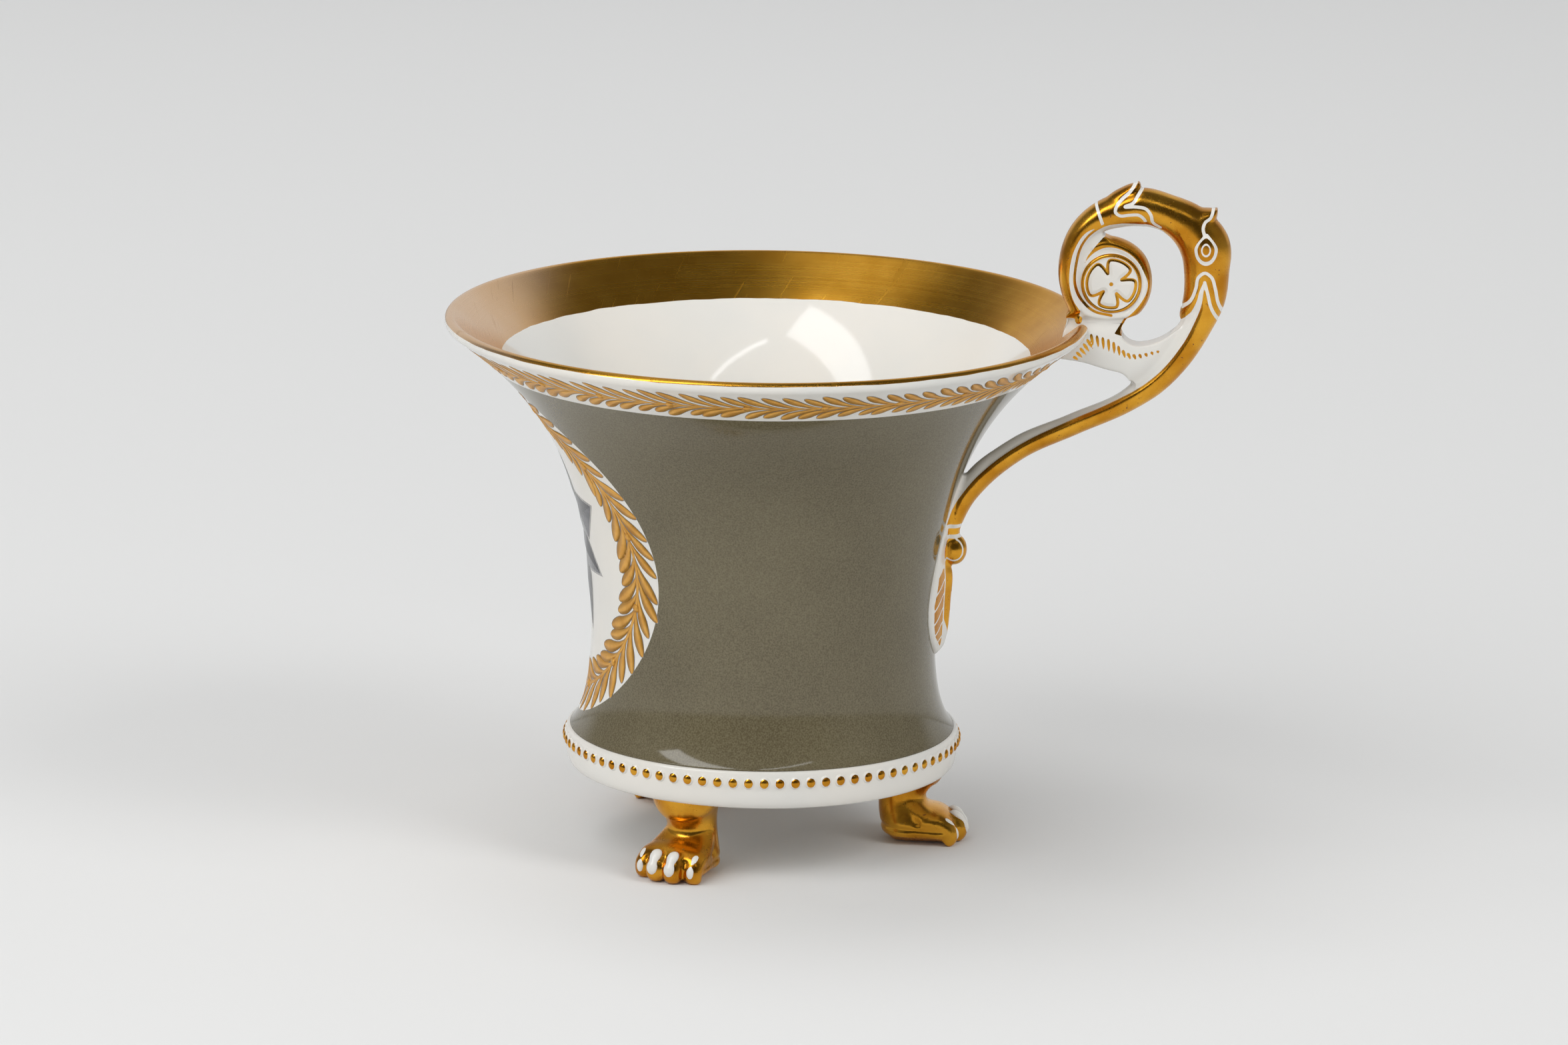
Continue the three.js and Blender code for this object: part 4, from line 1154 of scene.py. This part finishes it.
def beadTree():
    tree, start, given = newTree("beadRow", {
        "Bead": "Object", "Count": "Int", "Radius": "Float", "Place": "Vector", "Finish": "Material"})
    bead = start.node("GeometryNodeObjectInfo", {"transform_space": "ORIGINAL"}, {"Object": given["Bead"]},
                      "Geometry")
    ring = start.node("GeometryNodeMeshCircle", None, {"Vertices": given["Count"], "Radius": given["Radius"]})
    spot = start.node("GeometryNodeInputPosition")
    upright = start.node("FunctionNodeAxesToRotation", {"primary_axis": "Z", "secondary_axis": "Y"},
                         {"Primary Axis": spot, "Secondary Axis": (0, 0, 1)})
    row = start.node("GeometryNodeInstanceOnPoints", None,
                     {"Points": ring, "Instance": bead, "Rotation": upright})
    real = start.node("GeometryNodeRealizeInstances", None, {"Geometry": row})
    moved = start.node("GeometryNodeSetPosition", None, {"Geometry": real, "Offset": given["Place"]})
    finished = start.node("GeometryNodeSetMaterial", None, {"Geometry": moved, "Material": given["Finish"]})
    closeTree(start, finished)
    return tree


def makeBeads():
    bead = beadMesh()
    piece = grow("cup_bead_row", beadTree(), {
        "Bead": bead, "Count": beads["count"], "Radius": beads["radius"] * mm,
        "Place": (axisX * mm, 0, beads["height"] * mm), "Finish": paintedPorcelain})
    bpy.data.objects.remove(bead)
    finishPiece(piece, "gilding", "bead_ring")
    print("bead row", len(piece.data.polygons), "faces")


makeBeads()


# Paw feet: stations are x from the cup's axis, z from the floor, length and width
paw = {
    "leg": [(23.0, 14.4, 10.8, 11.4), (23.0, 13.0, 10.7, 11.2), (22.8, 11.8, 10.2, 10.4),
            (22.1, 10.2, 8.8, 8.9), (21.6, 8.6, 7.7, 7.8), (21.4, 7.0, 7.2, 7.6), (21.6, 5.2, 7.6, 8.4),
            (22.0, 3.6, 8.0, 9.4), (22.2, 2.2, 8.0, 9.8), (22.2, 1.2, 7.6, 9.4)],
    "sole": [(18.8, 2.0, 1.6, 3.0), (19.6, 2.1, 3.6, 6.8), (21.4, 2.3, 4.6, 9.2), (23.6, 2.3, 4.7, 10.2),
             (25.8, 2.2, 4.5, 11.0), (27.6, 2.0, 4.1, 11.2), (28.8, 1.8, 3.4, 10.4), (29.4, 1.7, 2.2, 8.6)],
    "instep": [(21.6, 6.2, 5.0, 7.8), (23.4, 4.7, 4.6, 9.4), (25.2, 3.9, 3.8, 10.4), (27.2, 3.6, 3.2, 10.8),
               (28.8, 2.9, 2.2, 10.4)],
    "toe": [(25.6, 3.7, 1.6, 2.0), (27.4, 3.6, 2.0, 2.6), (29.0, 3.1, 2.6, 2.9), (29.9, 2.3, 2.6, 3.0),
            (30.0, 1.3, 2.4, 2.9), (29.4, 0.4, 1.6, 2.5)],
    "claw": [(28.5, 4.45, 0.3, 0.4), (29.2, 4.35, 1.0, 1.5), (29.95, 3.9, 1.15, 1.75),
             (30.55, 3.2, 0.95, 1.4), (30.95, 2.45, 1.1, 1.75), (31.0, 1.75, 0.9, 1.4),
             (30.85, 1.2, 0.3, 0.4)],
    "bodySteps": (60, 40), "toeSteps": (40, 24), "clawSteps": (24, 16), "toeSides": (-4.1, -1.4, 1.4, 4.1),
    "outerFrom": 2, "outerBack": 1.5, "outerClaw": 0.72, "toeDrop": 0.1, "clawDrop": 0.25, "clawSpread": 1.03,
    "grooveHeight": 2.4, "grooveSlope": 0.04, "grooveMiddle": 24, "grooveDepth": 0.2, "grooveHalf": 0.4,
    "grooveEnd": 28.0, "grooveFade": 1.5, "voxel": 0.2, "smoothing": 16}
# Where the feet stand, in degrees round the axis from the handle
feet = {"foot_handle": 5.0, "foot_left": 125.0, "foot_right": 245.0}


def pawShape():
    forms = [sweep(paw[part], *paw["bodySteps"]) for part in ("leg", "sole", "instep")]
    claws = []
    for side in paw["toeSides"]:
        outerToe = abs(side) > paw["outerFrom"]
        back = paw["outerBack"] if outerToe else 0.0
        share = paw["outerClaw"] if outerToe else 1.0
        toe = [(x - back, z - paw["toeDrop"] * back, deep, wide) for x, z, deep, wide in paw["toe"]]
        claw = [(x - back, z - paw["clawDrop"] * back, deep * share, wide * share)
                for x, z, deep, wide in paw["claw"]]
        forms.append(sweep(toe, *paw["toeSteps"], side))
        claws.append(sweep(claw, *paw["clawSteps"], side * paw["clawSpread"]))
    skin, points = remeshed("paw", forms, paw["voxel"], paw["smoothing"])
    x, y, z = points.T
    level = paw["grooveHeight"] + paw["grooveSlope"] * (paw["grooveMiddle"] - x)
    sunk = paw["grooveDepth"] * np.exp(-((z - level) / paw["grooveHalf"]) ** 2)
    sunk *= np.clip((paw["grooveEnd"] - x) / paw["grooveFade"], 0, 1)
    points = points - normalsOf(skin) * sunk[:, None]
    points[:, 2] = np.maximum(points[:, 2], 0)
    faces = [tuple(face.vertices) for face in skin.polygons]
    clawPoints, clawFaces = joined(claws)
    gold = np.concatenate([np.ones(len(points)), -np.ones(len(clawPoints))])
    whole, sides = joined([(points, faces), (clawPoints, clawFaces)])
    return whole, sides, gold


def makeFeet():
    points, faces, gold = pawShape()
    for node, azimuth in feet.items():
        c, s = math.cos(math.radians(azimuth)), math.sin(math.radians(azimuth))
        x, y, z = points.T
        placed = np.stack([axisX + x * c - y * s, x * s + y * c, z], 1)
        mesh = meshOf(node, placed, faces)
        addField(mesh, "gold", gold)
        finishPiece(addPiece("cup_" + node, mesh, paintedPorcelain), "gilding", node)
        print(node, len(mesh.polygons), "faces")


makeFeet()


# Ornament in the white reserve: a plain star of bevelled kites, eight of them
# A kite is its length, where it is widest and half its width; heights are those of its ridge and its edge
star = {"long": (15.4, 8.4, 3.5), "short": (13.2, 7.0, 2.9), "kites": 8, "root": 1.2, "heights": (0.3, 0.06),
        "edging": 0.4, "edgingHeights": (0.04, 0.03), "sunk": 0.15, "cuts": 6}
enamel = {"dark": (rgb(62, 62, 66), rgb(76, 76, 80)), "mid": (rgb(92, 92, 96), rgb(108, 108, 112)),
          "edge": (rgb(150, 148, 146), rgb(172, 170, 167)), "toneScale": 600, "roughScale": 900,
          "roughness": 0.14, "roughSpread": 0.1}


def onWall(u, v, height):                             # round and along the wall, from the reserve's middle
    along = reserve["centre"] + v
    radius = np.interp(along, outerAlong, outer[:, 0])
    z = np.interp(along, outerAlong, outer[:, 1])
    tangent = np.gradient(outer, outerAlong, axis=0)
    lean = np.interp(along, outerAlong, tangent[:, 0])
    rise = np.interp(along, outerAlong, tangent[:, 1])
    angle = -math.pi + u / radius
    reach = radius + height * rise
    return np.stack([axisX + reach * np.cos(angle), reach * np.sin(angle), z - height * lean], 1)


def kiteForm(turn, sizes, extra, heights):
    length, middle, half = sizes
    ridge, edge = heights
    flat = [(star["root"] - extra, 0, edge), (middle, half + extra, edge), (length + 2 * extra, 0, edge),
            (middle, -half - extra, edge), (middle, 0, ridge)]
    flat += [(x, y, -star["sunk"]) for x, y, z in flat[:4]]
    c, s = math.cos(turn), math.sin(turn)
    points = [(x * c - y * s, x * s + y * c, z) for x, y, z in flat]
    tops = [(1, 0, 4), (2, 1, 4), (3, 2, 4), (0, 3, 4)]
    sides = [(0, 1, 6, 5), (1, 2, 7, 6), (2, 3, 8, 7), (3, 0, 5, 8), (5, 6, 7, 8)]
    return points, tops, sides


def makeEnamel(tone):
    finish, start, shader = newFinish("enamel" + tone.capitalize())
    clouds = noise(start, enamel["toneScale"], detail=3).step(*midRange)
    start.feed(shader.inputs["Base Color"], clouds.mix(*enamel[tone]))
    start.feed(shader.inputs["Roughness"],
               noise(start, enamel["roughScale"]) * enamel["roughSpread"] + enamel["roughness"])
    return finish


def makeStar():
    tones = ["dark", "mid", "edge"]
    layers = ((star["edging"], star["edgingHeights"], ["edge"] * 4),
              (0.0, star["heights"], ["dark", "dark", "mid", "mid"]))
    forms, shades = [], []
    for extra, heights, topTones in layers:
        for i in range(star["kites"]):
            sizes = star["short"] if i % 2 else star["long"]
            points, tops, sides = kiteForm((i + 0.5) * 2 * math.pi / star["kites"], sizes, extra, heights)
            forms.append((points, tops + sides))
            shades += [tones.index(tone) for tone in topTones + ["edge"] * len(sides)]
    points, faces = joined(forms)
    mesh = meshOf("star", points, faces, smooth=False)
    mesh.polygons.foreach_set("material_index", shades)
    net = bmesh.new()
    net.from_mesh(mesh)
    bmesh.ops.triangulate(net, faces=net.faces)
    bmesh.ops.subdivide_edges(net, edges=net.edges, cuts=star["cuts"], use_grid_fill=True)
    bmesh.ops.recalc_face_normals(net, faces=net.faces)
    net.to_mesh(mesh)
    net.free()
    spots = np.zeros(len(mesh.vertices) * 3)
    mesh.vertices.foreach_get("co", spots)
    u, v, height = spots.reshape(-1, 3).T / mm
    setPoints(mesh, onWall(u, v, height))
    greys = [makeEnamel(tone) for tone in tones]
    finishPiece(addPiece("reserve_star", mesh, *greys), "speckled_ground")


makeStar()
print("base, beads, feet and star ready")


# Floor, lights and camera, in metres
# paleFrom and pale: a painted glow on the paper towards the back, seen by the camera only
stage = {"size": 9.0, "colour": rgb(230, 230, 229), "cloud": rgb(233, 233, 232), "cloudScale": 3,
         "roughness": 0.8, "gloss": 0.1, "paleFrom": (-0.1, 0.7), "pale": 0.12}
# What reflections see of the room: shares of light, and where they begin; all other light is the fill
room = {"tint": (0.93, 0.94, 0.95, 1), "fill": 0.35, "dark": 0.06, "behind": 0.66, "behindFrom": (0.48, 0.75),
        "overhead": 0.05, "overheadFrom": (0.4, 0.9), "window": (-0.27, 0.18, 0.946),
        "windowFrom": (0.95, 1.0), "windowLight": 0.75, "beside": 0.2, "besideFrom": (0.6, 0.9)}
# Bright rectangles that only reflections see: their direction, and half sizes as shares of the distance
softboxes = {
    "left": {"towards": (-0.485, -0.393, 0.78), "along": (-1.0, -0.4, 0.0), "half": (0.42, 0.14),
             "light": 4.8},
    "strip": {"towards": (0.27, -0.56, 0.9), "along": (0.55, -0.24, 0.0), "half": (0.25, 0.012),
              "light": 8.0}}
softboxEdge = 0.012
softboxAhead = (0.0, 0.1)                             # keeps a rectangle from showing behind as well
# Focal length and width are in pixels, angles in degrees, and the place in millimetres from the rim's middle
camera = {"focal": 14000.0, "imageWidth": 2352.0, "sensor": 36.0, "pitch": 13.3826, "roll": 0.7052,
          "turn": 3.5, "place": (2.97, -1365.8, 292.96), "farthest": 50}
lampTarget = (0, 0, 0.05)
lamps = {
    "left": {"place": (-0.5, -0.78, 0.85), "size": (1.0, 0.8), "power": 6.2},
    "side": {"place": (-1.0, -0.3, 0.6), "size": (0.6, 0.6), "power": 1.7},
    "right": {"place": (0.85, -0.5, 0.8), "size": (0.45, 0.55), "power": 4.2},
    "top": {"place": (-0.3, 0.2, 1.25), "size": (0.8, 0.9), "power": 4.0}}


def makeFloor():
    half = stage["size"] / 2 / mm
    corners = np.array([(-1, -1, 0), (1, -1, 0), (1, 1, 0), (-1, 1, 0)]) * half
    mesh = meshOf("floor", corners, [(0, 1, 2, 3)])
    finish, start, shader = newFinish("floorPaper")
    clouds = noise(start, stage["cloudScale"])
    start.feed(shader.inputs["Base Color"], clouds.mix(stage["colour"], stage["cloud"]))
    # Painted light: the paper glows paler towards the back, for the camera only
    away = start.node("ShaderNodeSeparateXYZ", None, {0: place(start)}, "Y").step(*stage["paleFrom"])
    pale = away * start.node("ShaderNodeLightPath", out="Is Camera Ray") * stage["pale"]
    glow = start.node("ShaderNodeCombineColor", None, {0: pale, 1: pale, 2: pale})
    start.feed(shader.inputs["Emission Color"], glow)
    shader.inputs["Emission Strength"].default_value = 1.0
    shader.inputs["Roughness"].default_value = stage["roughness"]
    shader.inputs["Specular IOR Level"].default_value = stage["gloss"]
    addPiece("floor", mesh, finish)


def softboxLight(start, way, box):
    towards = Vector(box["towards"]).normalized()
    along = Vector(box["along"])
    along = (along - along.dot(towards) * towards).normalized()

    def share(direction):
        return start.node("ShaderNodeVectorMath", {"operation": "DOT_PRODUCT"}, {0: way, 1: direction},
                          "Value")

    ahead = share(towards)
    light = ahead.step(*softboxAhead) * box["light"]
    for direction, half in zip((along, towards.cross(along)), box["half"]):
        offset = start.sum("ABSOLUTE", share(direction) / ahead)
        light = light * offset.step(half + softboxEdge, half - softboxEdge)
    return light


def makeLamps():                                      # they light the cup, but reflections don't see them
    for name, lamp in lamps.items():
        light = bpy.data.lights.new(name, "AREA")
        light.shape = "RECTANGLE"
        light.size, light.size_y = lamp["size"]
        light.energy = lamp["power"]
        holder = bpy.data.objects.new(name, light)
        holder.location = lamp["place"]
        holder.visible_glossy = False
        facing = Vector(lampTarget) - Vector(lamp["place"])
        holder.rotation_euler = facing.to_track_quat("-Z", "Y").to_euler()
        bpy.context.scene.collection.objects.link(holder)


def makeRoom():                                       # reflections see a dark room, a pale wall and windows
    world = bpy.data.worlds.new("studio")
    world.use_nodes = True
    start = Wire(world.node_tree)
    background = world.node_tree.nodes["Background"]
    background.inputs["Color"].default_value = room["tint"]
    way = start.node("ShaderNodeTexCoord", out="Generated")
    parts = start.node("ShaderNodeSeparateXYZ", None, {0: way})
    behind = parts.other("Y").step(*room["behindFrom"]) * room["behind"]
    overhead = parts.other("Z").step(*room["overheadFrom"]) * room["overhead"]
    beside = start.sum("ABSOLUTE", parts.other("X")).step(*room["besideFrom"]) * room["beside"]
    towards = start.node("ShaderNodeVectorMath", {"operation": "DOT_PRODUCT"}, {0: way, 1: room["window"]},
                         "Value")
    window = towards.step(*room["windowFrom"]) * room["windowLight"]
    seen = room["dark"] + behind + overhead + window + beside
    for box in softboxes.values():
        seen = seen + softboxLight(start, way, box)
    glossy = start.node("ShaderNodeLightPath", out="Is Glossy Ray")
    start.feed(background.inputs["Strength"], glossy * (seen - room["fill"]) + room["fill"])
    bpy.context.scene.world = world


def makeCamera():
    pitch, roll = math.radians(camera["pitch"]), math.radians(camera["roll"])
    ahead = Vector((0, math.cos(pitch), -math.sin(pitch)))
    right = Vector((1, 0, 0))
    upward = right.cross(ahead)
    right, upward = (math.cos(roll) * right + math.sin(roll) * upward,
                     math.cos(roll) * upward - math.sin(roll) * right)
    seat = Matrix((right, upward, -ahead)).transposed().to_4x4()
    seat.translation = Vector(camera["place"]) * mm
    data = bpy.data.cameras.new("camera")
    data.sensor_width = camera["sensor"]
    data.lens = camera["focal"] / camera["imageWidth"] * camera["sensor"]
    data.clip_end = camera["farthest"]
    holder = bpy.data.objects.new("camera", data)
    holder.matrix_world = (Matrix.Translation((axisX * mm, 0, rimZ * mm))
                           @ Matrix.Rotation(math.radians(camera["turn"]), 4, "Z") @ seat)
    bpy.context.scene.collection.objects.link(holder)
    bpy.context.scene.camera = holder


makeFloor()
makeLamps()
makeRoom()
makeCamera()
bpy.context.scene.view_settings.view_transform = "Standard"
print("stage ready")
